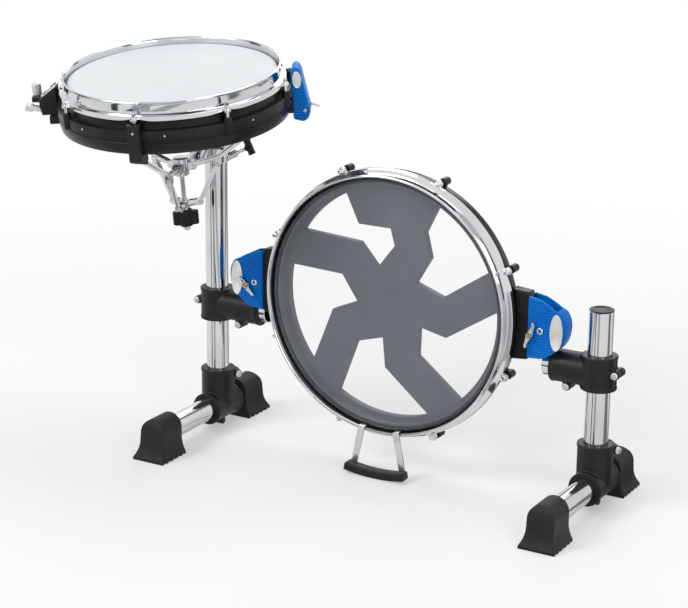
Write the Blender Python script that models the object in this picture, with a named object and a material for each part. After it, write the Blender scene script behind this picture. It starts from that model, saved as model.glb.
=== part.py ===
"""Compact drum kit: a shallow bass drum slung between two tube stands, and a snare drum in a basket.

Metres, +Z up. The player stands on the -Y side. The origin is on the floor, in the middle of the
underside of the pedal bar, below the centre of the bass drum.
"""
import math

import bmesh
import bpy
from mathutils import Matrix, Vector

for old_object in list(bpy.data.objects):
    bpy.data.objects.remove(old_object, do_unlink=True)

# Driving sizes, all in metres and degrees
FIT = 0.0003                 # gap between pieces that touch
SLIT = 0.0025                # saw cut in a clamp

TUBE_R = 0.01905             # stand tubes, 38.1 mm outside
TUBE_WALL = 0.0016
BASS_R = 0.2068              # inner radius of the bass rim
TONGUE_REACH = BASS_R + 0.0362
POST_X = TONGUE_REACH + 0.1034       # posts each side of the middle
POST_Y = 0.070
BASE_Z = 0.039               # axis of the base tubes
LEFT_POST_TOP = 0.4777
RIGHT_POST_TOP = 0.3165
POST_CAP_H = 0.0025

FOOT_L = 0.067
FOOT_W = 0.060
FOOT_H = 0.068
FOOT_DOME_R = 0.0226
FRONT_REACH = 0.2087         # post axis to the front end of the front foot
REAR_REACH = 0.118           # post axis to the rear end of the rear foot
FOOT_WALL = 0.0175           # from the outer end of the sole to the tube end
FOOT_LEAN = 0.0145           # how far the outer end leans in at the crown
GROOVE_R = 0.0026
GROOVES = 5

TEE_R = 0.028                # upright sleeve of a base clamp
TEE_TOP = 0.105
TEE_FLAT_R = 0.0262          # level sleeve of a base clamp
TEE_HALF_L = 0.0375
TEE_FLOOR = 0.0021           # web between the two bores
TEE_BOSS_Z = 0.092
TEE_BOSS_L = 0.024
TEE_BOSS_ANGLE = 50.0

CROSS_R = 0.0275             # upright sleeve of a cross clamp
CROSS_BOTTOM = 0.1925
CROSS_TOP = 0.247
SLEEVE_R = 0.0255            # level sleeve of a cross clamp
SLEEVE_Z = 0.219
SLEEVE_ENDS = {-1.0: TONGUE_REACH + 0.013, 1.0: TONGUE_REACH + 0.029}    # inboard end of each level sleeve
BOSS_R = 0.0065

STUB_REACH = 0.0135          # how far a bracket tube shows beyond its sleeve
BRACKET_FRONT = 0.040        # front face of a bass bracket
BRACKET_DEPTH = 0.028
BRACKET_WALL = 0.004
BRACKET_BOTTOM = 0.231
BRACKET_FLOOR_TOP = 0.2425
BRACKET_INNER = TONGUE_REACH - 0.0045
BRACKET_WEB = TONGUE_REACH + 0.043    # inner face of the outer end wall
WING_LENGTH = 0.0215
WING_T = 0.004
WING_SCREW_R = 0.003
WING_STAND_OFF = 0.004

BASS_FRONT_Y = 0.010
BASS_Z = 0.2798
SNARE_R = 0.168              # inner radius of the snare rim
SNARE_Y = -0.0535
SNARE_Z = 0.6352
SNARE_TILT = 7.7             # degrees toward the player

HEAD_DEPTH = 0.010           # film below the top of the rim
FILM_T = 0.0008
RIM_WALL = 0.0023
RIM_FLARE = 0.006
RIM_STEP = 0.019
RIM_DEPTH = 0.028
SKIRT_R = 0.0118             # outer radius of the rim skirt beyond the inner radius
ROD_OFFSET = 0.0155
ROD_HOLE_R = 0.0033
ROD_END = 0.0505
EAR_R = 0.0062
EAR_T = 0.0045
WAIST_OFFSET = 0.006
SHOULDER = -0.030
LUG_R = 0.0065
LUG_TOP = 0.0345
BAND_OFFSET = 0.0165
BAND_TOP = 0.042
BAND_BOTTOM = 0.060
DRUM_DEPTH = 0.080
BASS_DEPTH = 0.055
BORE_OFFSET = 0.008          # inside of the drum body, within the rim's inner radius
LUGS = 8
RING_SIDES = 40

SPIDER_FRONT = 0.030
SPIDER_T = 0.012
SPIDER_RING_W = 0.0115
DISH_WALL = 0.004
DISH_TOP = 0.014
SPIDER_ARMS = 5
SPIDER_FIRST = 24.1          # start of the first window
SPIDER_OPEN = 52.3           # angle each window takes on the ring
SPIDER_CORNERS = ((0.108, 25.8), (0.060, 17.6), (0.0945, -9.8))
PAD_LOW = 0.1215
PAD_HALF_ANGLE = 25.9

TONGUE_HALF = 0.056
TENON_REACH = TONGUE_REACH + 0.031
TENON_LOW = 0.249
TENON_HIGH = 0.320
SNARE_TONGUE_REACH = 0.0315  # beyond the snare rim's inner radius
SNARE_TONGUE_HALF = 0.013
TONGUE_TOP = 0.0665
SEAT_DEPTH = 0.0757          # seat of the bottom film
WIRES_HALF_L = SNARE_R - 0.021
WIRES_HALF_W = 0.020
WIRE_COUNT = 8
WIRE_T = 0.0014
WIRE_PLATE = 0.008
SNARE_BRACKET_HALF = 0.018
SNARE_BRACKET_PROFILE = (             # beyond the snare rim's inner radius, and below the rim's top
    (0.0200, 0.0090), (0.0240, 0.0040), (0.0300, 0.0042), (0.0350, 0.0110), (0.0390, 0.0343), (0.0445, 0.0652),
    (0.0470, 0.0772), (0.0430, 0.0877), (0.0355, 0.0930), (0.0195, 0.0885), (0.0190, 0.0815), (0.0205, 0.0725),
    (0.0190, 0.0413), (0.0185, 0.0258))
SNARE_BRACKET_OUTLINE = [(SNARE_R + out, depth) for out, depth in SNARE_BRACKET_PROFILE]
SNARE_WING = (SNARE_R + 0.0380, 0.0740)
SNARE_WING_TURN = 10.0
STRAINER_HALF = 0.015
STRAINER_PIVOT = (SNARE_R + 0.0365, 0.0590)
STRAINER_TIP = (SNARE_R + 0.0695, 0.0535)
LEVER_HALF = 0.0058
STRAINER_KNOB_AT = (SNARE_R + 0.0542, -0.0252, 0.042)   # reach, sideways and top of the shelf
STRAINER_KNOB_R = 0.0075
STRAINER_KNOB_H = 0.018
STRAINER_SHAFT_R = 0.0025
SHELF_T = 0.008
TRIM_AT = (SNARE_R + 0.0285, 0.0255)
TRIM_SLOPE = 37.0
TRIM_LONG = 0.0190
TRIM_SHORT = 0.0120
TRIM_W = 0.0025
TRIM_T = 0.0026

BAR_HALF_ANGLE = 11.3
BAR_SEGMENTS = 5
BAR_DEPTH = 0.020
BAR_H = 0.0125
STRUT_W = 0.011
STRUT_T = 0.003
STRUT_TOP_X = 0.0315
STRUT_FOOT_X = 0.0455
STRUT_SINK = 0.006
HOOK_T = 0.0025
HOOK_L = 0.0075

STEM_R = 0.0095
STEM_BOTTOM = 0.300
STEM_TOP = 0.500
TOP_CLAMP_R = 0.0225
TOP_CLAMP_BOTTOM = 0.462
TOP_CLAMP_TOP = 0.4865
STEM_SCREW_Z = 0.4690
STEM_SCREW_ANGLE = 20.0
STEM_SCREW_RISE = 26.0
SCREW_R = 0.003
SCREW_L = 0.041
SCREW_BOSS_L = 0.018
TILTER_BOTTOM = 0.4885
TILTER_COLLAR_R = 0.0155
TILTER_COLLAR_H = 0.018
TILT_AXIS_Y = 0.020
TILT_AXIS_Z = 0.480
TILT_EYE_R = 0.012
TILT_PIN_R = 0.004
CHEEK_IN = 0.0055
CHEEK_OUT = 0.0105
NECK_HALF = 0.005

HUB_R = 0.0125
HUB_TOP = 0.150
HUB_BOTTOM = 0.178
THREAD_R = 0.004
THREAD_START = 0.160
THREAD_END = 0.2735
HUB_EAR_IN = 0.0048
HUB_EAR_OUT = 0.0073
ARM_ANGLES = (-74.3, 45.7, 165.7)
ARM_PIVOT = (0.019, 0.164)
ARM_BEND = (0.062, 0.158)
ARM_END = (SNARE_R + 0.008, 0.0890)
ARM_HALF_W = 0.0045
ARM_HALF_T = 0.003
EAR_IN = 0.0033
EAR_OUT = 0.0058
PIVOT_EYE_R = 0.005
PIN_R = 0.002
LINK_TOP = (0.060, 0.1675)
LINK_FOOT = (0.026, 0.228)
LINK_HALF_W = 0.003
LINK_EYE_R = 0.0045
LINK_SLACK = 0.0006
COLLAR_R = 0.0085
COLLAR_TOP = 0.221
COLLAR_BOTTOM = 0.2375
KNOB_R = 0.011
KNOB_H = 0.028
KNOB_WING = 0.021
KNOB_WING_HALF_T = 0.0065
KNOB_TURN = 35.0
NUT_R = 0.0065
NUT_H = 0.0055
CLAW_HALF_W = 0.0095
CLAW_BACK_T = 0.010
CLAW_TOP = 0.030
CLAW_PAD_IN = SNARE_R - 0.002
CLAW_GRIP = 0.013

STRAINER_ANGLE = -152.0
BRACKET_ANGLE = 28.0
LUG_START_BASS = 22.5
LUG_START_SNARE = 15.7

SNARE_ORIGIN = Vector((-POST_X, SNARE_Y, SNARE_Z))
BASS_ORIGIN = Vector((0.0, BASS_FRONT_Y, BASS_Z))
BAND_R_SNARE = SNARE_R + BAND_OFFSET


# Materials

def material(name, colour, roughness, metallic):
    """Return a Principled material, made once."""
    found = bpy.data.materials.get(name)
    if found:
        return found
    made = bpy.data.materials.new(name)
    made.use_nodes = True
    shader = made.node_tree.nodes["Principled BSDF"]
    shader.inputs["Base Color"].default_value = (*colour, 1.0)
    shader.inputs["Roughness"].default_value = roughness
    shader.inputs["Metallic"].default_value = metallic
    return made


CHROME = material("chrome", (0.80, 0.81, 0.83), 0.10, 1.0)
STEEL = material("brushed_steel", (0.56, 0.56, 0.54), 0.35, 1.0)
BLACK = material("black_plastic", (0.030, 0.031, 0.034), 0.45, 0.0)
RUBBER = material("black_rubber", (0.028, 0.028, 0.028), 0.70, 0.0)
BLUE = material("blue_plastic", (0.010, 0.160, 0.620), 0.40, 0.0)
GREY = material("grey_plastic", (0.150, 0.160, 0.180), 0.45, 0.0)
WHITE = material("coated_film", (0.82, 0.83, 0.83), 0.60, 0.0)
CLEAR = material("clear_film", (0.80, 0.84, 0.84), 0.10, 0.0)


# Shape helpers: each returns a new bmesh

def polar(radius, degrees):
    """Return x and y at a radius and an angle."""
    return (radius * math.cos(math.radians(degrees)), radius * math.sin(math.radians(degrees)))


def lathe(profile, sides, phase=0.0):
    """Turn a closed profile of (radius, height) about Z. Points at radius 0 become poles."""
    mesh = bmesh.new()
    rings = []
    for radius, height in profile:
        if radius < 1e-6:
            rings.append([mesh.verts.new((0.0, 0.0, height))])
            continue
        ring = []
        for index in range(sides):
            x, y = polar(radius, phase + 360.0 * index / sides)
            ring.append(mesh.verts.new((x, y, height)))
        rings.append(ring)
    for one, two in zip(rings, rings[1:] + rings[:1]):
        if len(one) == 1 and len(two) == 1:
            continue
        for index in range(sides):
            after = (index + 1) % sides
            if len(one) == 1:
                mesh.faces.new((one[0], two[index], two[after]))
            elif len(two) == 1:
                mesh.faces.new((one[index], two[0], one[after]))
            else:
                mesh.faces.new((one[index], two[index], two[after], one[after]))
    bmesh.ops.recalc_face_normals(mesh, faces=mesh.faces)
    return mesh


def prism(outline, low, high):
    """Extrude an outline of (x, y) points along Z."""
    mesh = bmesh.new()
    floor = [mesh.verts.new((x, y, low)) for x, y in outline]
    face = mesh.faces.new(floor)
    grown = bmesh.ops.extrude_face_region(mesh, geom=[face])
    tops = [item for item in grown["geom"] if isinstance(item, bmesh.types.BMVert)]
    bmesh.ops.translate(mesh, verts=tops, vec=(0.0, 0.0, high - low))
    bmesh.ops.recalc_face_normals(mesh, faces=mesh.faces)
    return mesh


def block(low, high):
    """A box between two corners."""
    outline = [(low[0], low[1]), (high[0], low[1]), (high[0], high[1]), (low[0], high[1])]
    return prism(outline, low[2], high[2])


def turned(mesh, matrix):
    """Move a mesh by a matrix and return it."""
    bmesh.ops.transform(mesh, matrix=matrix, verts=mesh.verts)
    return mesh


def along(start, end):
    """Matrix that takes Z from the origin onto the line from start to end."""
    start = Vector(start)
    direction = (Vector(end) - start).normalized()
    return Matrix.Translation(start) @ direction.to_track_quat("Z", "Y").to_matrix().to_4x4()


def rod(radius, start, end, sides=16):
    """A cylinder between two points."""
    length = (Vector(end) - Vector(start)).length
    return turned(lathe([(0.0, 0.0), (radius, 0.0), (radius, length), (0.0, length)], sides), along(start, end))


def pipe(radius, bore, start, end, sides=20):
    """A tube between two points."""
    length = (Vector(end) - Vector(start)).length
    profile = [(bore, 0.0), (radius, 0.0), (radius, length), (bore, length)]
    return turned(lathe(profile, sides), along(start, end))


def group(meshes):
    """Put several meshes, none touching another, into one."""
    whole = bmesh.new()
    for mesh in meshes:
        data = bpy.data.meshes.new("piece")
        mesh.to_mesh(data)
        mesh.free()
        whole.from_mesh(data)
        bpy.data.meshes.remove(data)
    return whole


def combine(mesh, tool, operation):
    """Boolean of two meshes with Blender's exact solver."""
    objects = []
    for shape in (mesh, tool):
        data = bpy.data.meshes.new("work")
        shape.to_mesh(data)
        shape.free()
        item = bpy.data.objects.new("work", data)
        bpy.context.scene.collection.objects.link(item)
        objects.append(item)
    modifier = objects[0].modifiers.new("cut", "BOOLEAN")
    modifier.operation = operation
    modifier.solver = "EXACT"
    modifier.object = objects[1]
    graph = bpy.context.evaluated_depsgraph_get()
    result = bmesh.new()
    result.from_mesh(objects[0].evaluated_get(graph).data)
    for item in objects:
        data = item.data
        bpy.data.objects.remove(item, do_unlink=True)
        bpy.data.meshes.remove(data)
    bmesh.ops.remove_doubles(result, verts=result.verts, dist=0.000002)
    bmesh.ops.dissolve_degenerate(result, edges=result.edges, dist=0.000002)
    return result


def fuse(mesh, *tools):
    for tool in tools:
        mesh = combine(mesh, tool, "UNION")
    return mesh


def cut(mesh, *tools):
    for tool in tools:
        mesh = combine(mesh, tool, "DIFFERENCE")
    return mesh


def repeat(maker, angles):
    """Copies of a shape turned about Z, in one mesh."""
    return group([turned(maker(), Matrix.Rotation(math.radians(angle), 4, "Z")) for angle in angles])


def arc(centre, radius, start, end, steps):
    """Points on an arc, in degrees."""
    points = []
    for index in range(steps + 1):
        x, y = polar(radius, start + (end - start) * index / steps)
        points.append((centre[0] + x, centre[1] + y))
    return points


# Objects

def empty(name, location, rotation=(0.0, 0.0, 0.0)):
    made = bpy.data.objects.new(name, None)
    made.location = location
    made.rotation_euler = rotation
    bpy.context.scene.collection.objects.link(made)
    return made


BASS_AXIS = empty("bass_axis", BASS_ORIGIN, (math.radians(90.0), 0.0, 0.0))
SNARE_AXIS = empty("snare_axis", SNARE_ORIGIN, (math.radians(SNARE_TILT), 0.0, 0.0))
bpy.context.view_layer.update()


def add(name, mesh, look, pivot=(0.0, 0.0, 0.0), parent=None):
    """Make the named object, its origin at pivot, in its parent's frame."""
    pivot = Vector(pivot)
    bmesh.ops.translate(mesh, verts=mesh.verts, vec=-pivot)
    data = bpy.data.meshes.new(name)
    mesh.to_mesh(data)
    mesh.free()
    data.shade_smooth()
    data.set_sharp_from_angle(angle=math.radians(35.0))
    made = bpy.data.objects.new(name, data)
    made.data.materials.append(look)
    made.parent = parent
    made.location = pivot
    bpy.context.scene.collection.objects.link(made)
    return made


def upright(outline, front, depth, side=1.0):
    """Extrude an outline of (x, z) points along +Y from front."""
    points = [(side * x, z) for x, z in outline]
    return turned(prism(points, -front - depth, -front), Matrix.Rotation(math.radians(90.0), 4, "X"))


# Stand

SIDE_VIEW = Matrix.Rotation(math.radians(90.0), 4, "Z") @ Matrix.Rotation(math.radians(90.0), 4, "X")


def foot(side, front):
    """Flared rubber foot with a pocket for the tube and grooves across its sole."""
    half = FOOT_W / 2
    crown = FOOT_H - FOOT_DOME_R
    flare = [(half, 0.0), (half, 0.004), (half - 0.0030, 0.009), (half - 0.0055, 0.016), (FOOT_DOME_R, 0.027)]
    dome = arc((0.0, crown), FOOT_DOME_R, 0.0, 180.0, 10)
    mirrored = [(-x, z) for x, z in reversed(flare)]
    outline = [(side * POST_X + x, z) for x, z in flare + dome + mirrored]
    start = POST_Y - FRONT_REACH if front else POST_Y + REAR_REACH - FOOT_L
    shape = upright(outline, start, FOOT_L)
    above = FOOT_H + 0.001
    lean = [(0.0, -0.001), (0.0, 0.004), (0.25 * FOOT_LEAN, 0.010), (0.52 * FOOT_LEAN, 0.018),
            (0.74 * FOOT_LEAN, 0.030), (0.88 * FOOT_LEAN, 0.045), (FOOT_LEAN, 0.058),
            (FOOT_LEAN + 0.006, above), (0.10, above), (0.10, -0.001)]
    if front:
        side_view = [(start + y, z) for y, z in lean]
    else:
        side_view = [(start + FOOT_L - y, z) for y, z in lean]
    wedge = prism(side_view, side * POST_X - FOOT_W, side * POST_X + FOOT_W)
    shape = combine(shape, turned(wedge, SIDE_VIEW), "INTERSECT")
    if front:
        pocket = (start + FOOT_WALL, start + FOOT_L + 0.01)
    else:
        pocket = (start - 0.01, start + FOOT_L - FOOT_WALL)
    bore = rod(TUBE_R + FIT, (side * POST_X, pocket[0], BASE_Z), (side * POST_X, pocket[1], BASE_Z), 20)
    grooves = []
    for index in range(GROOVES):
        y = start + FOOT_L * (index + 0.5) / GROOVES
        x_end = half + 0.01
        grooves.append(rod(GROOVE_R, (side * POST_X - x_end, y, 0.0), (side * POST_X + x_end, y, 0.0), 8))
    return cut(shape, bore, group(grooves))


def tube_ends():
    """Front and rear ends of a base tube, just short of the foot pockets' floors."""
    return (POST_Y - FRONT_REACH + FOOT_WALL + FIT, POST_Y + REAR_REACH - FOOT_WALL - FIT)


def pinch_boss(x, z, length, radius=BOSS_R):
    """Boss of a pinch bolt, lying front to back."""
    return rod(radius, (x, POST_Y - length / 2, z), (x, POST_Y + length / 2, z), 14)


def base_clamp(side):
    """Tee: an upright sleeve for the post on a level sleeve round the base tube, each with a pinch boss."""
    x = side * POST_X
    bore_floor = BASE_Z + TUBE_R + FIT + TEE_FLOOR
    boss_reach = TEE_R + 0.0042
    boss = rod(BOSS_R, (boss_reach, -TEE_BOSS_L / 2, TEE_BOSS_Z), (boss_reach, TEE_BOSS_L / 2, TEE_BOSS_Z), 14)
    slit = block((0.012, -SLIT / 2, BASE_Z + TEE_FLAT_R + 0.002), (boss_reach + 0.012, SLIT / 2, TEE_TOP + 0.01))
    turn = Matrix.Translation((x, POST_Y, 0.0)) @ Matrix.Rotation(math.radians(TEE_BOSS_ANGLE), 4, "Z")
    shape = rod(TEE_R, (x, POST_Y, BASE_Z), (x, POST_Y, TEE_TOP), 20)
    level = rod(TEE_FLAT_R, (x, POST_Y - TEE_HALF_L, BASE_Z), (x, POST_Y + TEE_HALF_L, BASE_Z), 20)
    low_z = BASE_Z - TEE_FLAT_R - 0.004
    low_boss = rod(0.0058, (x - 0.011, POST_Y, low_z), (x + 0.011, POST_Y, low_z), 12)
    shape = fuse(shape, level, turned(boss, turn), low_boss)
    bore = rod(TUBE_R + FIT, (x, POST_Y, bore_floor), (x, POST_Y, TEE_TOP + 0.01), 20)
    run = rod(TUBE_R + FIT, (x, POST_Y - 0.06, BASE_Z), (x, POST_Y + 0.06, BASE_Z), 20)
    low_slit = block((x - SLIT / 2, POST_Y - TEE_HALF_L - 0.01, -0.01), (x + SLIT / 2, POST_Y + TEE_HALF_L + 0.01, BASE_Z))
    return cut(shape, bore, run, turned(slit, turn), low_slit)


CROSS_BOSS_X = POST_X + CROSS_R + 0.0035
CROSS_BOSS_Z = 0.2215
CROSS_BOSS_L = 0.030
SLEEVE_BOSS_X = POST_X - 0.0484
SLEEVE_BOSS_Z = SLEEVE_Z - SLEEVE_R - 0.0035
SLEEVE_BOSS_L = 0.026


def cross_clamp(side):
    """Upright sleeve on the post and a level sleeve that points at the drum."""
    x = side * POST_X
    bore_end = POST_X - CROSS_R + 0.001
    shape = rod(CROSS_R, (x, POST_Y, CROSS_BOTTOM), (x, POST_Y, CROSS_TOP), 20)
    level = rod(SLEEVE_R, (side * SLEEVE_ENDS[side], POST_Y, SLEEVE_Z), (x, POST_Y, SLEEVE_Z), 20)
    shape = fuse(shape, level, pinch_boss(side * CROSS_BOSS_X, CROSS_BOSS_Z, CROSS_BOSS_L),
                 pinch_boss(side * SLEEVE_BOSS_X, SLEEVE_BOSS_Z, SLEEVE_BOSS_L))
    bore = rod(TUBE_R + FIT, (x, POST_Y, CROSS_BOTTOM - 0.01), (x, POST_Y, CROSS_TOP + 0.01), 20)
    run = rod(TUBE_R + FIT, (side * (SLEEVE_ENDS[side] - 0.01), POST_Y, SLEEVE_Z),
              (side * bore_end, POST_Y, SLEEVE_Z), 20)
    outer = sorted((side * (POST_X + 0.012), side * (CROSS_BOSS_X + 0.012)))
    slit = block((outer[0], POST_Y - SLIT / 2, CROSS_BOTTOM - 0.01), (outer[1], POST_Y + SLIT / 2, CROSS_TOP + 0.01))
    inner = sorted((side * (SLEEVE_ENDS[side] - 0.01), side * (POST_X - CROSS_R - 0.004)))
    low = block((inner[0], POST_Y - SLIT / 2, SLEEVE_BOSS_Z - 0.01), (inner[1], POST_Y + SLIT / 2, SLEEVE_Z - 0.012))
    return cut(shape, bore, run, slit, low)


def stand():
    tube_start, tube_stop = tube_ends()
    post_foot = BASE_Z + TUBE_R + 2 * FIT + TEE_FLOOR
    bore = TUBE_R - TUBE_WALL
    for name, side in (("left", -1.0), ("right", 1.0)):
        x = side * POST_X
        add("base_tube_" + name, pipe(TUBE_R, bore, (x, tube_start, BASE_Z), (x, tube_stop, BASE_Z)), CHROME)
        add("foot_front_" + name, foot(side, True), RUBBER)
        add("foot_rear_" + name, foot(side, False), RUBBER)
        add("base_clamp_" + name, base_clamp(side), BLACK)
        top = LEFT_POST_TOP if side < 0 else RIGHT_POST_TOP
        add("post_" + name, pipe(TUBE_R, bore, (x, POST_Y, post_foot), (x, POST_Y, top)), CHROME)
        add("cross_clamp_" + name, cross_clamp(side), BLACK, (x, POST_Y, SLEEVE_Z))
    cap = lathe([(0.0, RIGHT_POST_TOP - 0.012), (bore - FIT, RIGHT_POST_TOP - 0.012), (bore - FIT, RIGHT_POST_TOP + FIT),
                 (TUBE_R, RIGHT_POST_TOP + FIT), (TUBE_R, RIGHT_POST_TOP + POST_CAP_H), (0.0, RIGHT_POST_TOP + POST_CAP_H)], 20)
    add("post_cap_right", turned(cap, Matrix.Translation((POST_X, POST_Y, 0.0))), BLACK)


# Bass brackets

BRACKET_BACK = BRACKET_FRONT + BRACKET_DEPTH
BRACKET_PROFILE = (                   # outward from the inner edge, and height
    (0.0, BRACKET_BOTTOM), (0.0235, 0.2325), (0.0375, 0.2405), (0.0515, 0.252), (0.0600, 0.267), (0.0625, 0.2826),
    (0.0600, 0.298), (0.0545, 0.3095), (0.0455, 0.3110), (0.0355, 0.3182), (0.0195, 0.3260), (0.0, 0.3293))
BRACKET_OUTLINE = [(BRACKET_INNER + out, height) for out, height in BRACKET_PROFILE]
WINGS = {1.0: (BRACKET_INNER + 0.006, 0.270, 62.0), -1.0: (BRACKET_INNER + 0.0285, 0.2694, 126.4)}


def bracket(side):
    """Blue fork: two plates, an outer end wall and a saddle that sits on the stub tube."""
    shape = upright(BRACKET_OUTLINE, BRACKET_FRONT, BRACKET_DEPTH, side)
    inner = sorted((side * (BRACKET_INNER - 0.01), side * BRACKET_WEB))
    gap = block((inner[0], BRACKET_FRONT + BRACKET_WALL, BRACKET_FLOOR_TOP),
                (inner[1], BRACKET_BACK - BRACKET_WALL, 0.36))
    mouth = sorted((side * (BRACKET_INNER - 0.01), side * (SLEEVE_ENDS[side] - STUB_REACH)))
    lip = block((mouth[0], BRACKET_FRONT + BRACKET_WALL, BRACKET_BOTTOM - 0.01),
                (mouth[1], BRACKET_BACK - BRACKET_WALL, BRACKET_FLOOR_TOP + 0.001))
    past = (side * (BRACKET_INNER + 0.0815), POST_Y, SLEEVE_Z)
    saddle = rod(TUBE_R + FIT, (side * (BRACKET_INNER - 0.0185), POST_Y, SLEEVE_Z), past, 20)
    clear = rod(SLEEVE_R + 0.0015, (side * (SLEEVE_ENDS[side] - 0.0015), POST_Y, SLEEVE_Z), past, 20)
    wing_x, wing_z, _angle = WINGS[side]
    screw = rod(WING_SCREW_R + FIT, (side * wing_x, BRACKET_FRONT - 0.01, wing_z),
                (side * wing_x, BRACKET_BACK + 0.01, wing_z), 12)
    return cut(shape, gap, lip, saddle, clear, screw)


def stub(side):
    """Tube held in the level sleeve, which carries the bracket."""
    start = side * (SLEEVE_ENDS[side] - STUB_REACH)
    end = side * (POST_X - CROSS_R - FIT)
    return pipe(TUBE_R, TUBE_R - TUBE_WALL, (start, POST_Y, SLEEVE_Z), (end, POST_Y, SLEEVE_Z))


def front_matrix(x, y, z):
    """Frame with its Z toward the player, at a point."""
    return Matrix.Translation((x, y, z)) @ Matrix.Rotation(math.radians(90.0), 4, "X")


def wing_nut(side):
    """Nut on the rear plate that takes the wing lever's screw."""
    x, z, _angle = WINGS[side]
    place = front_matrix(side * x, BRACKET_BACK, z)
    profile = [(WING_SCREW_R + FIT, -FIT), (0.0056, -FIT), (0.0056, -0.0042), (WING_SCREW_R + FIT, -0.0042)]
    return turned(lathe(profile, 10), place)


def wing_shape(screw_length):
    """Wing lever in its own frame: Z along the screw toward the user, wings along X."""
    tip = WING_LENGTH - 0.0022
    outline = [(0.0, 0.0056)] + arc((tip, 0.0), 0.0022, 90.0, -90.0, 5)
    outline += [(0.0, -0.0056)] + arc((-tip, 0.0), 0.0022, 270.0, 90.0, 5)
    wings = prism(outline, WING_STAND_OFF, WING_STAND_OFF + WING_T)
    hub = lathe([(0.0, -screw_length), (WING_SCREW_R, -screw_length), (WING_SCREW_R, FIT), (0.0052, FIT),
                 (0.0052, WING_STAND_OFF + WING_T + 0.0015), (0.0, WING_STAND_OFF + WING_T + 0.0015)], 14)
    return fuse(wings, hub)


def wing_lever(side):
    x, z, angle = WINGS[side]
    place = front_matrix(side * x, BRACKET_FRONT, z) @ Matrix.Rotation(math.radians(angle), 4, "Z")
    return turned(wing_shape(BRACKET_DEPTH + 0.0038), place)


def bass_brackets():
    for name, side in (("left", -1.0), ("right", 1.0)):
        x, z, _angle = WINGS[side]
        add("bracket_stub_" + name, stub(side), CHROME, (side * SLEEVE_ENDS[side], POST_Y, SLEEVE_Z))
        add("bracket_" + name, bracket(side), BLUE, (side * SLEEVE_ENDS[side], POST_Y, SLEEVE_Z))
        add("wing_lever_" + name, wing_lever(side), CHROME, (side * x, BRACKET_FRONT, z))
        add("wing_nut_" + name, wing_nut(side), CHROME, (side * x, BRACKET_BACK, z))


# Drums, in a frame with Z out of the head and the top of the rim at 0

def lug_angles(start):
    return [start + 360.0 * index / LUGS for index in range(LUGS)]


def rim(radius, start):
    """Flanged chrome rim with an ear at each lug."""
    skirt = radius + SKIRT_R
    profile = [(radius, -0.003), (radius + 0.003, 0.0), (radius + RIM_FLARE, -0.0008),
               (radius + RIM_FLARE, -0.0028), (radius + RIM_WALL + 0.0008, -0.0045),
               (radius + RIM_WALL, -RIM_STEP), (skirt - 0.0008, -RIM_STEP - 0.0015), (skirt, -RIM_DEPTH),
               (skirt - RIM_WALL, -RIM_DEPTH), (skirt - RIM_WALL - 0.0007, -RIM_STEP - 0.0036),
               (radius, -RIM_STEP - RIM_WALL)]
    shape = lathe(profile, RING_SIDES, start)
    reach = radius + ROD_OFFSET
    top = -RIM_STEP - 0.0025
    ears = repeat(lambda: rod(EAR_R, (reach, 0.0, top - EAR_T), (reach, 0.0, top), 8), lug_angles(start))
    holes = repeat(lambda: rod(ROD_HOLE_R, (reach, 0.0, -0.032), (reach, 0.0, -0.016), 6), lug_angles(start))
    return cut(fuse(shape, ears), holes)


def head(radius, start):
    """Film drawn over the bearing edge, crimped in its hoop under the rim."""
    collar = radius - 0.0015
    hoop_out = radius + SKIRT_R - RIM_WALL - 0.0010
    hoop_top = -RIM_STEP - 0.0042
    hoop_low = -RIM_DEPTH - 0.001
    profile = [(0.0, -HEAD_DEPTH), (collar - 0.002, -HEAD_DEPTH), (collar, -HEAD_DEPTH - 0.002),
               (radius - 0.0012, hoop_top), (hoop_out, hoop_top), (hoop_out, hoop_low), (collar - FILM_T, hoop_low),
               (collar - FILM_T, -HEAD_DEPTH - 0.0022), (collar - 0.0024, -HEAD_DEPTH - FILM_T),
               (0.0, -HEAD_DEPTH - FILM_T)]
    return lathe(profile, RING_SIDES, start)


def drum_body(radius, start, outside, lug_low, web):
    """Turned drum body with lug barrels. outside continues the profile from the shoulder under the rim."""
    neck = radius - 0.0015 - FILM_T - FIT
    edge = -HEAD_DEPTH - FILM_T - FIT
    profile = [(radius - BORE_OFFSET, edge), (neck - 0.0022, edge), (neck, edge - 0.0022), (neck, SHOULDER)] + outside
    reach = radius + ROD_OFFSET

    def barrel():
        shape = rod(LUG_R, (reach, 0.0, -lug_low), (reach, 0.0, -LUG_TOP), 10)
        if not web:
            return shape
        return fuse(shape, block((radius, -0.0036, -lug_low + 0.001), (reach, 0.0036, -LUG_TOP - 0.002)))

    angles = lug_angles(start)
    holes = repeat(lambda: rod(ROD_HOLE_R, (reach, 0.0, -ROD_END), (reach, 0.0, -LUG_TOP + 0.01), 6), angles)
    return cut(fuse(lathe(profile, RING_SIDES, start), repeat(barrel, angles)), holes)


# Bass drum

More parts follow.
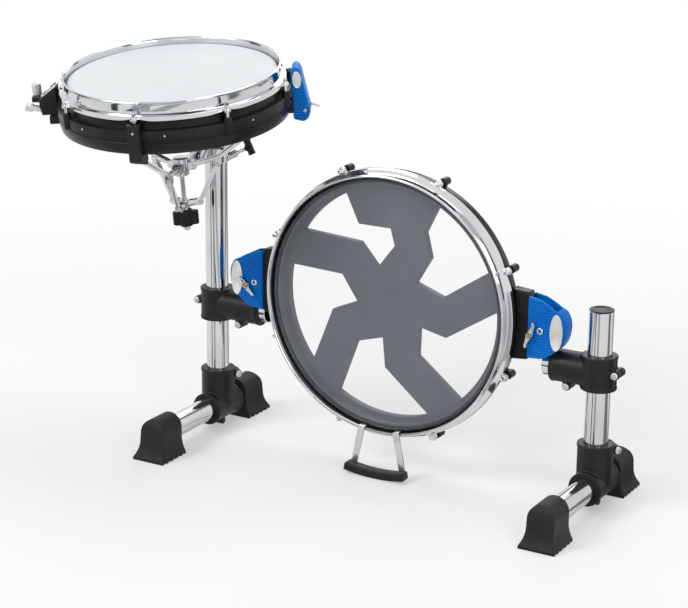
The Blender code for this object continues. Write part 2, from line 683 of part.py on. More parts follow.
def bass_shell():
    """Drum body with a tongue each side, whose tenon enters the bracket."""
    outer = BASS_R + WAIST_OFFSET
    outside = [(outer, SHOULDER), (outer, -BASS_DEPTH + 0.002), (outer - 0.002, -BASS_DEPTH),
               (BASS_R - BORE_OFFSET, -BASS_DEPTH)]
    shape = drum_body(BASS_R, LUG_START_BASS, outside, BASS_DEPTH - 0.0015, True)
    front = BRACKET_FRONT + BRACKET_WALL + FIT - BASS_FRONT_Y
    back = BRACKET_BACK - BRACKET_WALL - FIT - BASS_FRONT_Y
    root = BASS_R + 0.001
    low = TENON_LOW - BASS_Z
    high = TENON_HIGH - BASS_Z
    for side in (-1.0, 1.0):
        outline = [(root, -TONGUE_HALF), (TONGUE_REACH - 0.006, -TONGUE_HALF + 0.003), (TONGUE_REACH, low),
                   (TENON_REACH, low), (TENON_REACH, high - 0.010), (TONGUE_REACH, high),
                   (TONGUE_REACH - 0.006, TONGUE_HALF - 0.002), (root, TONGUE_HALF)]
        shape = fuse(shape, prism([(side * x, y) for x, y in outline], -back, -front))
        x, z, _angle = WINGS[side]
        shape = cut(shape, rod(WING_SCREW_R + 0.001, (side * x, z - BASS_Z, -back - 0.01),
                               (side * x, z - BASS_Z, -front + 0.01), 12))
    return shape


def spider():
    """Grey dish: a wall inside the drum body, and a floor cut into five bent arms."""
    outer = BASS_R - BORE_OFFSET - FIT
    floor_top = -SPIDER_FRONT
    floor_low = -SPIDER_FRONT - SPIDER_T
    profile = [(0.0, floor_top), (outer - DISH_WALL, floor_top), (outer - DISH_WALL, -DISH_TOP), (outer, -DISH_TOP),
               (outer, floor_low), (0.0, floor_low)]
    edge = outer - SPIDER_RING_W

    def window():
        outline = arc((0.0, 0.0), edge, SPIDER_FIRST, SPIDER_FIRST + SPIDER_OPEN, 7)
        outline += [polar(radius, SPIDER_FIRST + angle) for radius, angle in SPIDER_CORNERS]
        return prism(outline, floor_low - 0.01, floor_top + 0.001)

    steps = [360.0 * index / SPIDER_ARMS for index in range(SPIDER_ARMS)]
    shape = cut(lathe(profile, RING_SIDES, LUG_START_BASS), repeat(window, steps))
    half = PAD_LOW * math.tan(math.radians(PAD_HALF_ANGLE))
    outline = [(-half, PAD_LOW), (half, PAD_LOW)]
    outline += arc((0.0, 0.0), edge + 0.004, 90.0 - PAD_HALF_ANGLE, 90.0 + PAD_HALF_ANGLE, 5)
    return fuse(shape, prism(outline, floor_low + 0.0005, floor_top - 0.0005))


def strut(side, grow):
    """Flat strip in front of the rim, down into the bar."""
    foot_z = BAR_H - STRUT_SINK - grow
    half = STRUT_W / 2 + grow
    angle = math.asin(STRUT_TOP_X / BASS_R)
    inner = BASS_R * math.cos(math.pi / RING_SIDES) - FIT - HOOK_T + 0.0005
    top = []
    for along_rim in (half, -half):
        x = inner * math.sin(angle) + along_rim * math.cos(angle)
        top.append((side * x, BASS_Z - inner * math.cos(angle) + along_rim * math.sin(angle)))
    outline = [(side * (STRUT_FOOT_X - half), foot_z), (side * (STRUT_FOOT_X + half), foot_z)] + top
    return upright(outline, BASS_FRONT_Y - FIT - STRUT_T - grow, STRUT_T + 2 * grow)


def pedal_strut(side):
    """The strip with its hook, which lies on the inside of the rim."""
    inner = BASS_R * math.cos(math.pi / RING_SIDES) - FIT
    hook = block((-STRUT_W / 2 + 0.0004, BASS_FRONT_Y - FIT - STRUT_T + 0.0005, -inner),
                 (STRUT_W / 2 - 0.0004, BASS_FRONT_Y + HOOK_L, -inner + HOOK_T))
    lean = -side * math.asin(STRUT_TOP_X / BASS_R)
    hook = turned(hook, Matrix.Translation((0.0, 0.0, BASS_Z)) @ Matrix.Rotation(lean, 4, "Y"))
    return fuse(strut(side, 0.0), hook)


def pedal_bar():
    """Short length of hoop that lies on the floor, open at the back for the two strips."""
    step = 2 * BAR_HALF_ANGLE / BAR_SEGMENTS
    outer = BASS_Z / math.cos(math.radians(step / 2))
    spread = [-90.0 - BAR_HALF_ANGLE + step * index for index in range(BAR_SEGMENTS + 1)]
    under = [polar(outer, angle) for angle in spread]
    over = [polar(outer - BAR_H, angle) for angle in reversed(spread)]
    shape = upright([(x, z + BASS_Z) for x, z in under + over], -BAR_DEPTH / 2, BAR_DEPTH)
    for side in (-1.0, 1.0):
        slot = strut(side, FIT)
        slot = fuse(slot, turned(strut(side, FIT), Matrix.Translation((0.0, 0.002, 0.0))))
        shape = cut(shape, slot)
    return shape


def bass_drum():
    add("bass_shell", bass_shell(), BLACK, parent=BASS_AXIS)
    add("bass_spider", spider(), GREY, parent=BASS_AXIS)
    add("bass_head", head(BASS_R, LUG_START_BASS), CLEAR, parent=BASS_AXIS)
    add("bass_rim", rim(BASS_R, LUG_START_BASS), CHROME, parent=BASS_AXIS)
    add("pedal_strut_left", pedal_strut(-1.0), STEEL)
    add("pedal_strut_right", pedal_strut(1.0), STEEL)
    add("pedal_bar", pedal_bar(), BLACK)


# Snare stand

SCREW_DIRECTION = Vector((math.cos(math.radians(STEM_SCREW_RISE)) * math.cos(math.radians(STEM_SCREW_ANGLE)),
                          math.cos(math.radians(STEM_SCREW_RISE)) * math.sin(math.radians(STEM_SCREW_ANGLE)),
                          math.sin(math.radians(STEM_SCREW_RISE))))
SCREW_START = (Vector((-POST_X, POST_Y, STEM_SCREW_Z))
               + Vector((SCREW_DIRECTION.x, SCREW_DIRECTION.y, 0.0)).normalized() * (TUBE_R + FIT))


def screw_point(distance):
    return SCREW_START + SCREW_DIRECTION * distance


def top_clamp():
    """Collar on the left post, with a bore for the stem and a boss for its screw."""
    post_seat = LEFT_POST_TOP + FIT
    profile = [(0.0, TOP_CLAMP_BOTTOM), (TOP_CLAMP_R, TOP_CLAMP_BOTTOM), (TOP_CLAMP_R, TOP_CLAMP_TOP - 0.0015),
               (TOP_CLAMP_R - 0.0015, TOP_CLAMP_TOP), (0.0, TOP_CLAMP_TOP)]
    shape = turned(lathe(profile, 20), Matrix.Translation((-POST_X, POST_Y, 0.0)))
    shape = fuse(shape, rod(0.0065, screw_point(0.0), screw_point(SCREW_BOSS_L), 12))
    post_bore = rod(TUBE_R + FIT, (-POST_X, POST_Y, TOP_CLAMP_BOTTOM - 0.01), (-POST_X, POST_Y, post_seat), 20)
    stem_bore = rod(STEM_R + FIT, (-POST_X, POST_Y, post_seat - 0.01), (-POST_X, POST_Y, TOP_CLAMP_TOP + 0.01), 20)
    return cut(shape, post_bore, stem_bore, rod(SCREW_R + FIT, screw_point(-0.006), screw_point(0.05), 12))


def stem_screw():
    """Screw with a bar handle, which clamps the stem."""
    handle = screw_point(SCREW_L)
    up = SCREW_DIRECTION.cross(Vector((0.0, 1.0, 0.0))).normalized()
    shaft = rod(SCREW_R, screw_point(SCREW_R * math.sin(math.radians(STEM_SCREW_RISE)) + 0.0006), handle, 12)
    bar = rod(0.0058, handle - up * 0.013, handle + up * 0.013, 12)
    return fuse(shaft, bar)


def tilter():
    """Collar on the stem with a forked arm, and the hinge pin fixed in the fork."""
    x = -POST_X
    collar = rod(TILTER_COLLAR_R, (x, POST_Y, TILTER_BOTTOM), (x, POST_Y, TILTER_BOTTOM + TILTER_COLLAR_H), 20)
    top = TILTER_BOTTOM + TILTER_COLLAR_H
    mid = TILT_AXIS_Y + TILT_EYE_R + 0.002
    outline = [(POST_Y, TILTER_BOTTOM), (POST_Y, top), (mid, top - 0.004), (TILT_AXIS_Y, TILT_AXIS_Z + TILT_EYE_R)]
    outline += arc((TILT_AXIS_Y, TILT_AXIS_Z), TILT_EYE_R, 90.0, 300.0, 12)[1:]
    outline += [(mid + 0.006, TILTER_BOTTOM)]
    arm = turned(prism(outline, x - CHEEK_OUT, x + CHEEK_OUT), SIDE_VIEW)
    gap = rod(TILT_EYE_R + 0.0012, (x - CHEEK_IN, TILT_AXIS_Y, TILT_AXIS_Z), (x + CHEEK_IN, TILT_AXIS_Y, TILT_AXIS_Z), 22)
    swing = block((x - CHEEK_IN, TILT_AXIS_Y - 0.03, TILT_AXIS_Z - 0.03), (x + CHEEK_IN, TILT_AXIS_Y + 0.001, TILT_AXIS_Z + 0.03))
    bore = rod(STEM_R + FIT, (x, POST_Y, TILTER_BOTTOM - 0.01), (x, POST_Y, STEM_TOP + FIT), 20)
    shape = cut(fuse(collar, arm), gap, swing, bore)
    return fuse(shape, rod(TILT_PIN_R, (x - CHEEK_OUT + 0.001, TILT_AXIS_Y, TILT_AXIS_Z),
                           (x + CHEEK_OUT - 0.001, TILT_AXIS_Y, TILT_AXIS_Z), 14))


def snare_stand():
    x = -POST_X
    add("top_clamp", top_clamp(), CHROME)
    add("stem_screw", stem_screw(), BLACK, screw_point(SCREW_L))
    add("snare_stem", rod(STEM_R, (x, POST_Y, STEM_BOTTOM), (x, POST_Y, STEM_TOP), 20), CHROME, (x, POST_Y, STEM_BOTTOM))
    add("tilter_base", tilter(), CHROME, (x, POST_Y, TILTER_BOTTOM))


# Snare basket. Points are (distance from the drum's axis, depth below the top of the rim).

def radial(outline, half, angle, offset=0.0):
    """Extrude an outline across a half plane at an angle about the drum's axis."""
    points = [(reach, -depth) for reach, depth in outline]
    shape = turned(prism(points, -offset - half, -offset + half), Matrix.Rotation(math.radians(90.0), 4, "X"))
    return turned(shape, Matrix.Rotation(math.radians(angle), 4, "Z"))


def across(radius, point, half, angle, sides=10, offset=0.0):
    """Cylinder across such a half plane."""
    reach, depth = point
    shape = rod(radius, (reach, offset - half, -depth), (reach, offset + half, -depth), sides)
    return turned(shape, Matrix.Rotation(math.radians(angle), 4, "Z"))


def ribbon(points, half):
    """Outline of a strip along a line of (reach, depth) points."""
    sides = ([], [])
    for index, point in enumerate(points):
        before = Vector(points[max(index - 1, 0)])
        after = Vector(points[min(index + 1, len(points) - 1)])
        one = (Vector(point) - before).normalized() if index else (after - Vector(point)).normalized()
        two = (after - Vector(point)).normalized() if index < len(points) - 1 else one
        middle = (one + two).normalized()
        normal = Vector((-middle.y, middle.x)) / max(middle.dot(one), 0.5)
        sides[0].append(tuple(Vector(point) + normal * half))
        sides[1].append(tuple(Vector(point) - normal * half))
    return sides[0] + sides[1][::-1]


def placed(point, angle):
    """A (reach, depth) point at an angle, as x, y, z in the drum's frame."""
    x, y = polar(point[0], angle)
    return (x, y, -point[1])


def arm_line(grow=0.0):
    """Centre line of an arm, stretched past its end by grow."""
    bend = Vector(ARM_BEND)
    end = Vector(ARM_END)
    return [ARM_PIVOT, ARM_BEND, tuple(end + (end - bend).normalized() * grow)]


def basket_arm(angle):
    """Bent arm with its pivot pins at the hub, and two ears with a pin for the link."""
    shape = radial(ribbon(arm_line(), ARM_HALF_T), ARM_HALF_W, angle)
    eye = across(PIVOT_EYE_R, ARM_PIVOT, ARM_HALF_W - 0.0001, angle)
    pins = across(PIN_R, ARM_PIVOT, HUB_EAR_OUT, angle, 8)
    shape = fuse(shape, eye, pins)
    reach, depth = LINK_TOP
    ear = [(reach - 0.0062, depth - 0.0085), (reach + 0.0062, depth - 0.0085), (reach + 0.0048, depth + 0.0025),
           (reach + 0.0020, depth + 0.0048), (reach - 0.0020, depth + 0.0048), (reach - 0.0048, depth + 0.0025)]
    middle = (EAR_IN + EAR_OUT) / 2
    thick = (EAR_OUT - EAR_IN) / 2
    for offset in (-middle, middle):
        shape = fuse(shape, radial(ear, thick, angle, offset))
    return fuse(shape, across(PIN_R, LINK_TOP, EAR_OUT - 0.0005, angle, 8))


def basket_link(angle):
    """Flat link: a pin through its foot, and an eye for the arm's pin at its top."""
    shape = radial(ribbon([LINK_TOP, LINK_FOOT], 0.003), LINK_HALF_W, angle)
    shape = fuse(shape, across(LINK_EYE_R, LINK_TOP, LINK_HALF_W - 0.0001, angle),
                 across(LINK_EYE_R, LINK_FOOT, LINK_HALF_W - 0.0001, angle),
                 across(PIN_R, LINK_FOOT, EAR_OUT, angle, 8))
    return cut(shape, across(PIN_R + LINK_SLACK, LINK_TOP, 0.01, angle, 10))


def arm_grip(angle):
    """Rubber claw pushed over the end of an arm: a pad under the drum and a back outside it."""
    pad = DRUM_DEPTH + FIT
    wall = BAND_R_SNARE + FIT
    outer = wall + CLAW_BACK_T
    end = Vector(ARM_END)
    back = (Vector(ARM_BEND) - end).normalized()
    normal = Vector((-back.y, back.x))
    mouth = end + back * CLAW_GRIP
    low = mouth - normal * 0.0055
    high = mouth + normal * 0.0055
    if high.y > low.y:
        low, high = high, low
    outline = [tuple(high), (CLAW_PAD_IN, pad), (wall, pad), (wall, CLAW_TOP), (outer, CLAW_TOP), (outer, pad + 0.007),
               (outer - 0.004, pad + 0.0105), tuple(low)]
    shape = radial(outline, CLAW_HALF_W, angle)
    line = arm_line(FIT)
    start = Vector(line[1])
    pocket = [tuple(start + (end - start) * 0.5), line[2]]
    shape = cut(shape, radial(ribbon(pocket, ARM_HALF_T + FIT), ARM_HALF_W + FIT, angle))
    nearest = min(lug_angles(LUG_START_SNARE), key=lambda lug: abs((lug - angle + 180.0) % 360.0 - 180.0))
    if abs((nearest - angle + 180.0) % 360.0 - 180.0) < 5.0:
        x, y = polar(SNARE_R + ROD_OFFSET, nearest)
        shape = cut(shape, rod(LUG_R + 0.001, (x, y, -BAND_BOTTOM - 0.002), (x, y, 0.0), 14))
    return shape


def basket_hub():
    """Hub with a fork for each arm, a neck to the tilter and a threaded hole for the rod."""
    shape = rod(HUB_R, (0.0, 0.0, -HUB_BOTTOM), (0.0, 0.0, -HUB_TOP), 18)
    reach, depth = ARM_PIVOT
    ear = [(0.004, depth - 0.0065), (reach + 0.0025, depth - 0.0065), (reach + 0.0058, depth - 0.0025),
           (reach + 0.0058, depth + 0.0025), (reach + 0.0025, depth + 0.0065), (0.004, depth + 0.0065)]
    thick = (HUB_EAR_OUT - HUB_EAR_IN) / 2
    middle = (HUB_EAR_OUT + HUB_EAR_IN) / 2
    for angle in ARM_ANGLES:
        for offset in (-middle, middle):
            shape = fuse(shape, radial(ear, thick, angle, offset))
    for angle in ARM_ANGLES:
        shape = cut(shape, across(PIN_R + FIT, ARM_PIVOT, 0.012, angle, 10),
                    across(PIVOT_EYE_R + 0.001, ARM_PIVOT, HUB_EAR_IN, angle, 12))
    hinge = SNARE_AXIS.matrix_world.inverted() @ Vector((-POST_X, TILT_AXIS_Y, TILT_AXIS_Z))
    neck = block((-NECK_HALF, 0.002, hinge.z - 0.009), (NECK_HALF, hinge.y, hinge.z + 0.009))
    eye = rod(TILT_EYE_R - 0.0005, (-NECK_HALF + 0.0001, hinge.y, hinge.z), (NECK_HALF - 0.0001, hinge.y, hinge.z), 20)
    shape = fuse(shape, neck, eye)
    hole = rod(TILT_PIN_R + FIT, (-0.02, hinge.y, hinge.z), (0.02, hinge.y, hinge.z), 16)
    thread = rod(THREAD_R + FIT, (0.0, 0.0, -HUB_BOTTOM - 0.01), (0.0, 0.0, -THREAD_START + FIT), 12)
    return cut(shape, hole, thread)


def collar():
    """Sleeve that slides on the threaded rod, with a fork for each link."""
    shape = rod(COLLAR_R, (0.0, 0.0, -COLLAR_BOTTOM), (0.0, 0.0, -COLLAR_TOP), 18)
    reach, depth = LINK_FOOT
    ear = [(0.003, depth - 0.0048), (reach + 0.0020, depth - 0.0048), (reach + 0.0048, depth - 0.0020),
           (reach + 0.0048, depth + 0.0020), (reach + 0.0020, depth + 0.0048), (0.003, depth + 0.0048)]
    middle = (EAR_IN + EAR_OUT) / 2
    thick = (EAR_OUT - EAR_IN) / 2
    for angle in ARM_ANGLES:
        for offset in (-middle, middle):
            shape = fuse(shape, radial(ear, thick, angle, offset))
    for angle in ARM_ANGLES:
        shape = cut(shape, across(PIN_R + FIT, LINK_FOOT, 0.012, angle, 10))
    return cut(shape, rod(THREAD_R + FIT, (0.0, 0.0, -COLLAR_BOTTOM - 0.01), (0.0, 0.0, -COLLAR_TOP + 0.01), 12))


def adjuster_knob():
    """Two winged knob under the collar."""
    top = -COLLAR_BOTTOM - FIT
    shape = rod(KNOB_R, (0.0, 0.0, top - KNOB_H), (0.0, 0.0, top), 18)
    tip = KNOB_WING - KNOB_WING_HALF_T
    outline = arc((tip, 0.0), KNOB_WING_HALF_T, -90.0, 90.0, 5) + arc((-tip, 0.0), KNOB_WING_HALF_T, 90.0, 270.0, 5)
    wings = turned(prism(outline, top - KNOB_H + 0.002, top - 0.003), Matrix.Rotation(math.radians(KNOB_TURN), 4, "Z"))
    shape = fuse(shape, wings)
    return cut(shape, rod(THREAD_R + FIT, (0.0, 0.0, top - KNOB_H - 0.01), (0.0, 0.0, top + 0.01), 12))


def basket():
    add("basket_hub", basket_hub(), CHROME, (0.0, 0.0, -HUB_BOTTOM), SNARE_AXIS)
    add("threaded_rod", rod(THREAD_R, (0.0, 0.0, -THREAD_END), (0.0, 0.0, -THREAD_START), 12), STEEL, parent=SNARE_AXIS)
    for number, angle in enumerate(ARM_ANGLES, 1):
        add("basket_arm_%d" % number, basket_arm(angle), CHROME, placed(ARM_PIVOT, angle), SNARE_AXIS)
        add("arm_grip_%d" % number, arm_grip(angle), RUBBER, placed(ARM_END, angle), SNARE_AXIS)
        add("basket_link_%d" % number, basket_link(angle), CHROME, placed(LINK_FOOT, angle), SNARE_AXIS)
    add("basket_collar", collar(), CHROME, (0.0, 0.0, -COLLAR_BOTTOM), SNARE_AXIS)
    add("adjuster_knob", adjuster_knob(), BLACK, (0.0, 0.0, -COLLAR_BOTTOM), SNARE_AXIS)
    nut_top = -COLLAR_BOTTOM - FIT - KNOB_H - FIT
    nut = rod(NUT_R, (0.0, 0.0, nut_top - NUT_H), (0.0, 0.0, nut_top), 6)
    nut = cut(nut, rod(THREAD_R + FIT, (0.0, 0.0, nut_top - 0.02), (0.0, 0.0, nut_top + 0.01), 12))
    add("adjuster_nut", nut, CHROME, (0.0, 0.0, nut_top), SNARE_AXIS)


# Snare drum

def snare_tongue(angle):
    return radial([(SNARE_R + 0.008, TONGUE_TOP), (SNARE_R + SNARE_TONGUE_REACH, TONGUE_TOP),
                   (SNARE_R + SNARE_TONGUE_REACH, DRUM_DEPTH), (SNARE_R + 0.004, DRUM_DEPTH)],
                  SNARE_TONGUE_HALF, angle)


def snare_lower_ring():
    """Ring that clamps the bottom film, with a tongue each side."""
    band = BAND_R_SNARE
    top = -BAND_BOTTOM - FIT
    seat = SNARE_R - 0.0045
    bore = SNARE_R - 0.010
    profile = [(seat, top), (band - 0.002, top), (band - 0.002, top - 0.0012), (band - 0.0008, top - 0.0014),
               (band - 0.0014, -DRUM_DEPTH + 0.010), (band - 0.0040, -DRUM_DEPTH), (bore, -DRUM_DEPTH),
               (bore, -SEAT_DEPTH), (seat, -SEAT_DEPTH)]
    shape = lathe(profile, RING_SIDES, LUG_START_SNARE)
    return fuse(shape, snare_tongue(BRACKET_ANGLE), snare_tongue(STRAINER_ANGLE))


def bottom_head():
    outer = SNARE_R - 0.0045 - FIT
    film_low = -SEAT_DEPTH + FIT
    profile = [(0.0, film_low + FILM_T), (outer - 0.0027, film_low + FILM_T), (outer - 0.0027, -BAND_BOTTOM - FIT),
               (outer, -BAND_BOTTOM - FIT), (outer, film_low), (0.0, film_low)]
    return lathe(profile, RING_SIDES, LUG_START_SNARE)


def snare_wires():
    """Band of wires under the bottom film, between two end plates."""
    top = -SEAT_DEPTH
    pieces = []
    spacing = 2 * (WIRES_HALF_W - 0.002) / (WIRE_COUNT - 1)
    for index in range(WIRE_COUNT):
        y = -WIRES_HALF_W + 0.002 + spacing * index
        pieces.append(block((-WIRES_HALF_L + 0.002, y - WIRE_T / 2, top - WIRE_T),
                            (WIRES_HALF_L - 0.002, y + WIRE_T / 2, top)))
    shape = group(pieces)
    for side in (-1.0, 1.0):
        ends = sorted((side * (WIRES_HALF_L - WIRE_PLATE), side * WIRES_HALF_L))
        plate = block((ends[0], -WIRES_HALF_W, top - WIRE_T - 0.0004), (ends[1], WIRES_HALF_W, top - 0.0001))
        shape = fuse(shape, plate)
    return turned(shape, Matrix.Rotation(math.radians(STRAINER_ANGLE), 4, "Z"))


def snare_bracket():
    """Blue bracket whose lower end grips the tongue and is pinched by the wing screw."""
    shape = radial(SNARE_BRACKET_OUTLINE, SNARE_BRACKET_HALF, BRACKET_ANGLE)
    tip = SNARE_R + SNARE_TONGUE_REACH + FIT
    inner = SNARE_R - 0.018
    outer = SNARE_R + 0.082
    pocket = [(inner, TONGUE_TOP - FIT), (tip, TONGUE_TOP - FIT), (tip, DRUM_DEPTH + FIT), (inner, DRUM_DEPTH + FIT)]
    slit = [(inner, 0.0600), (outer, 0.0600), (outer, 0.110), (inner, 0.110)]
    return cut(shape, radial(pocket, SNARE_TONGUE_HALF + FIT, BRACKET_ANGLE), radial(slit, SLIT / 2, BRACKET_ANGLE),
               across(WING_SCREW_R + FIT, SNARE_WING, 0.05, BRACKET_ANGLE))


def snare_wing_matrix():
    """Frame of the snare's wing lever: Z out of the bracket's rear face, X toward the outer end."""
    tangent = Matrix.Rotation(math.radians(-90.0), 4, "X")
    at = Matrix.Translation((SNARE_WING[0], SNARE_BRACKET_HALF, -SNARE_WING[1]))
    return Matrix.Rotation(math.radians(BRACKET_ANGLE), 4, "Z") @ at @ tangent @ Matrix.Rotation(
        math.radians(SNARE_WING_TURN), 4, "Z")


def strainer_body():
    """Housing on the drum's side: a sloping top, a fork for the lever and a shelf for the tension knob."""
    inner = BAND_R_SNARE + FIT
    face = SNARE_R + 0.0445
    shape = radial([(inner, 0.0187), (face, 0.0396), (face, 0.0500), (face - 0.003, 0.0640), (inner, 0.0640)],
                   STRAINER_HALF, STRAINER_ANGLE)
    reach, side, shelf_top = STRAINER_KNOB_AT
    root = SNARE_R + 0.0360
    shelf = radial([(root, shelf_top), (reach + 0.0065, shelf_top), (reach + 0.0065, shelf_top + SHELF_T),
                    (root, shelf_top + SHELF_T)], 0.0110, STRAINER_ANGLE, side + 0.0045)
    back = STRAINER_PIVOT[0] - 0.0052
    over = STRAINER_PIVOT[1] - 0.0062
    past = SNARE_R + 0.062
    slot = radial([(back, over), (past, over), (past, 0.080), (back, 0.080)], LEVER_HALF + FIT, STRAINER_ANGLE)
    hole = rod(STRAINER_SHAFT_R + FIT, (reach, side, -0.070), (reach, side, 0.0), 12)
    hole = turned(hole, Matrix.Rotation(math.radians(STRAINER_ANGLE), 4, "Z"))
    pin = across(PIN_R + FIT, STRAINER_PIVOT, LEVER_HALF + 0.0042, STRAINER_ANGLE)
    return cut(fuse(shape, shelf), slot, hole, pin)


def strainer_lever():
    """Throw lever with its pivot pins and a ribbed finger tip."""
    tip = Vector(STRAINER_TIP)
    pivot = Vector(STRAINER_PIVOT)
    direction = (tip - pivot).normalized()
    neck = tip - direction * 0.011
    shape = radial(ribbon([STRAINER_PIVOT, tuple(neck)], 0.0033), LEVER_HALF, STRAINER_ANGLE)
    grip = radial(ribbon([tuple(neck - direction * 0.001), STRAINER_TIP], 0.0045), LEVER_HALF + 0.0012, STRAINER_ANGLE)
    return fuse(shape, grip, across(0.0042, STRAINER_PIVOT, LEVER_HALF - 0.0001, STRAINER_ANGLE),
                across(PIN_R, STRAINER_PIVOT, LEVER_HALF + 0.0038, STRAINER_ANGLE))


def strainer_knob():
    """Round tension knob on a shaft through the shelf."""
    reach, side, shelf_top = STRAINER_KNOB_AT
    low = -shelf_top - SHELF_T - FIT
    profile = [(0.0, -shelf_top + FIT + STRAINER_KNOB_H), (STRAINER_KNOB_R, -shelf_top + FIT + STRAINER_KNOB_H),
               (STRAINER_KNOB_R, -shelf_top + FIT), (STRAINER_SHAFT_R, -shelf_top + FIT), (STRAINER_SHAFT_R, low),
               (0.0042, low), (0.0042, low - 0.004), (0.0, low - 0.004)]
    place = Matrix.Rotation(math.radians(STRAINER_ANGLE), 4, "Z") @ Matrix.Translation((reach, side, 0.0))
    return turned(lathe(profile, 14), place)


def strainer_trim():
    """Oval chrome frame on the sloping top of the housing."""
    rings = []
    for grow in (0.0, -TRIM_W):
        points = []
        for index in range(20):
            x, y = polar(1.0, 18.0 * index)
            points.append((x * (TRIM_LONG + grow), y * (TRIM_SHORT + grow)))
        rings.append(points)
    shape = cut(prism(rings[0], -TRIM_T / 2, TRIM_T / 2), prism(rings[1], -0.01, 0.01))
    place = Matrix.Rotation(math.radians(STRAINER_ANGLE), 4, "Z") @ Matrix.Translation((TRIM_AT[0], 0.0, -TRIM_AT[1]))
    return turned(shape, place @ Matrix.Rotation(math.radians(TRIM_SLOPE), 4, "Y"))


def snare_drum():
    waist = SNARE_R + WAIST_OFFSET
    outside = [(waist, SHOULDER), (waist, -BAND_TOP), (BAND_R_SNARE - 0.001, -BAND_TOP),
               (BAND_R_SNARE, -BAND_TOP - 0.001), (BAND_R_SNARE, -BAND_BOTTOM), (SNARE_R - BORE_OFFSET, -BAND_BOTTOM)]
    shell = drum_body(SNARE_R, LUG_START_SNARE, outside, BAND_BOTTOM, False)
    add("snare_shell", shell, BLACK, parent=SNARE_AXIS)
    add("snare_lower_ring", snare_lower_ring(), BLACK, parent=SNARE_AXIS)
    add("snare_head", head(SNARE_R, LUG_START_SNARE), WHITE, parent=SNARE_AXIS)
    add("snare_rim", rim(SNARE_R, LUG_START_SNARE), CHROME, parent=SNARE_AXIS)
    add("snare_bottom_head", bottom_head(), CLEAR, parent=SNARE_AXIS)
    add("snare_wires", snare_wires(), STEEL, parent=SNARE_AXIS)
    add("snare_bracket", snare_bracket(), BLUE, parent=SNARE_AXIS)
    place = snare_wing_matrix()
    lever = turned(wing_shape(2 * SNARE_BRACKET_HALF + 0.003), place)
    add("snare_wing_lever", lever, CHROME, place.translation, SNARE_AXIS)
    add("strainer_body", strainer_body(), BLACK, parent=SNARE_AXIS)
    add("strainer_lever", strainer_lever(), GREY, placed(STRAINER_PIVOT, STRAINER_ANGLE), SNARE_AXIS)
    add("strainer_knob", strainer_knob(), GREY, parent=SNARE_AXIS)
    add("strainer_trim", strainer_trim(), CHROME, parent=SNARE_AXIS)


stand()
bass_brackets()
bass_drum()
snare_stand()
basket()
snare_drum()
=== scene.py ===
# %% [markdown]
# # A compact drum kit, dressed piece by piece
#
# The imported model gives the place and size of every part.

# %% Load the frame
import math

import bmesh
import bpy
from mathutils import Matrix, Vector


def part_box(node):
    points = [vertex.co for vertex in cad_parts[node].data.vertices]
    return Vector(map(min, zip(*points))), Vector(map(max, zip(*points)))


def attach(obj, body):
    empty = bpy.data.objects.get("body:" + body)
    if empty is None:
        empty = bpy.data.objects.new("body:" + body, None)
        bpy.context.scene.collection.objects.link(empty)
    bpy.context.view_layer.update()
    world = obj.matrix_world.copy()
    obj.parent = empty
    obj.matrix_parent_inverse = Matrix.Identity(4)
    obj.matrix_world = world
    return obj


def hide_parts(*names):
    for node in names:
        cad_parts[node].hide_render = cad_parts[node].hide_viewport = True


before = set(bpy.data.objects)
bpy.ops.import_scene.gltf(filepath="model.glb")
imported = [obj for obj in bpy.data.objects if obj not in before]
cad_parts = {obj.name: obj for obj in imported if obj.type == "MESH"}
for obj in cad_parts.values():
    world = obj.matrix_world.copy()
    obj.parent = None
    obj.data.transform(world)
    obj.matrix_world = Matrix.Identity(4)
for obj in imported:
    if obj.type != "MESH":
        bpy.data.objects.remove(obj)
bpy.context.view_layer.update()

# %% [markdown]
# ## The camera
#
# The photograph was taken from the player's right, a little above the drums.

# %% Camera
def camera_frame(azimuth, elevation, roll, place):
    """Matrix of a camera that looks back along an azimuth and an elevation, in degrees."""
    a, e, r = (math.radians(value) for value in (azimuth, elevation, roll))
    right = Vector((math.cos(a), math.sin(a), 0.0))
    back = Vector((math.sin(a) * math.cos(e), -math.cos(a) * math.cos(e), math.sin(e)))
    up = back.cross(right)
    rolled_right = right * math.cos(r) + up * math.sin(r)
    rolled_up = up * math.cos(r) - right * math.sin(r)
    matrix = Matrix((rolled_right, rolled_up, back)).transposed().to_4x4()
    matrix.translation = Vector(place)
    return matrix


FOCAL_LENGTH = 107.84
CAMERA_TURN = (29.99, 17.0, 0.51)
CAMERA_PLACE = (1.4902, -2.6879, 1.2281)

lens = bpy.data.cameras.new("photo_camera")
lens.sensor_width = 36.0
lens.lens = FOCAL_LENGTH
lens.clip_end = 60.0
camera = bpy.data.objects.new("photo_camera", lens)
camera.matrix_world = camera_frame(*CAMERA_TURN, CAMERA_PLACE)
bpy.context.scene.collection.objects.link(camera)
bpy.context.scene.camera = camera
bpy.context.scene.view_settings.view_transform = "Standard"
print("camera: %.1f mm lens, %.2f m from the kit" % (lens.lens, Vector(CAMERA_PLACE).length))

# %% [markdown]
# ## Writing materials as sums
#
# A finish is a few patterns added and multiplied together. Such sums can be built by hand in the
# shader editor, but they are easier to read as sums. The small class below wraps a node's output,
# so that a plus sign in Python becomes a Math node.

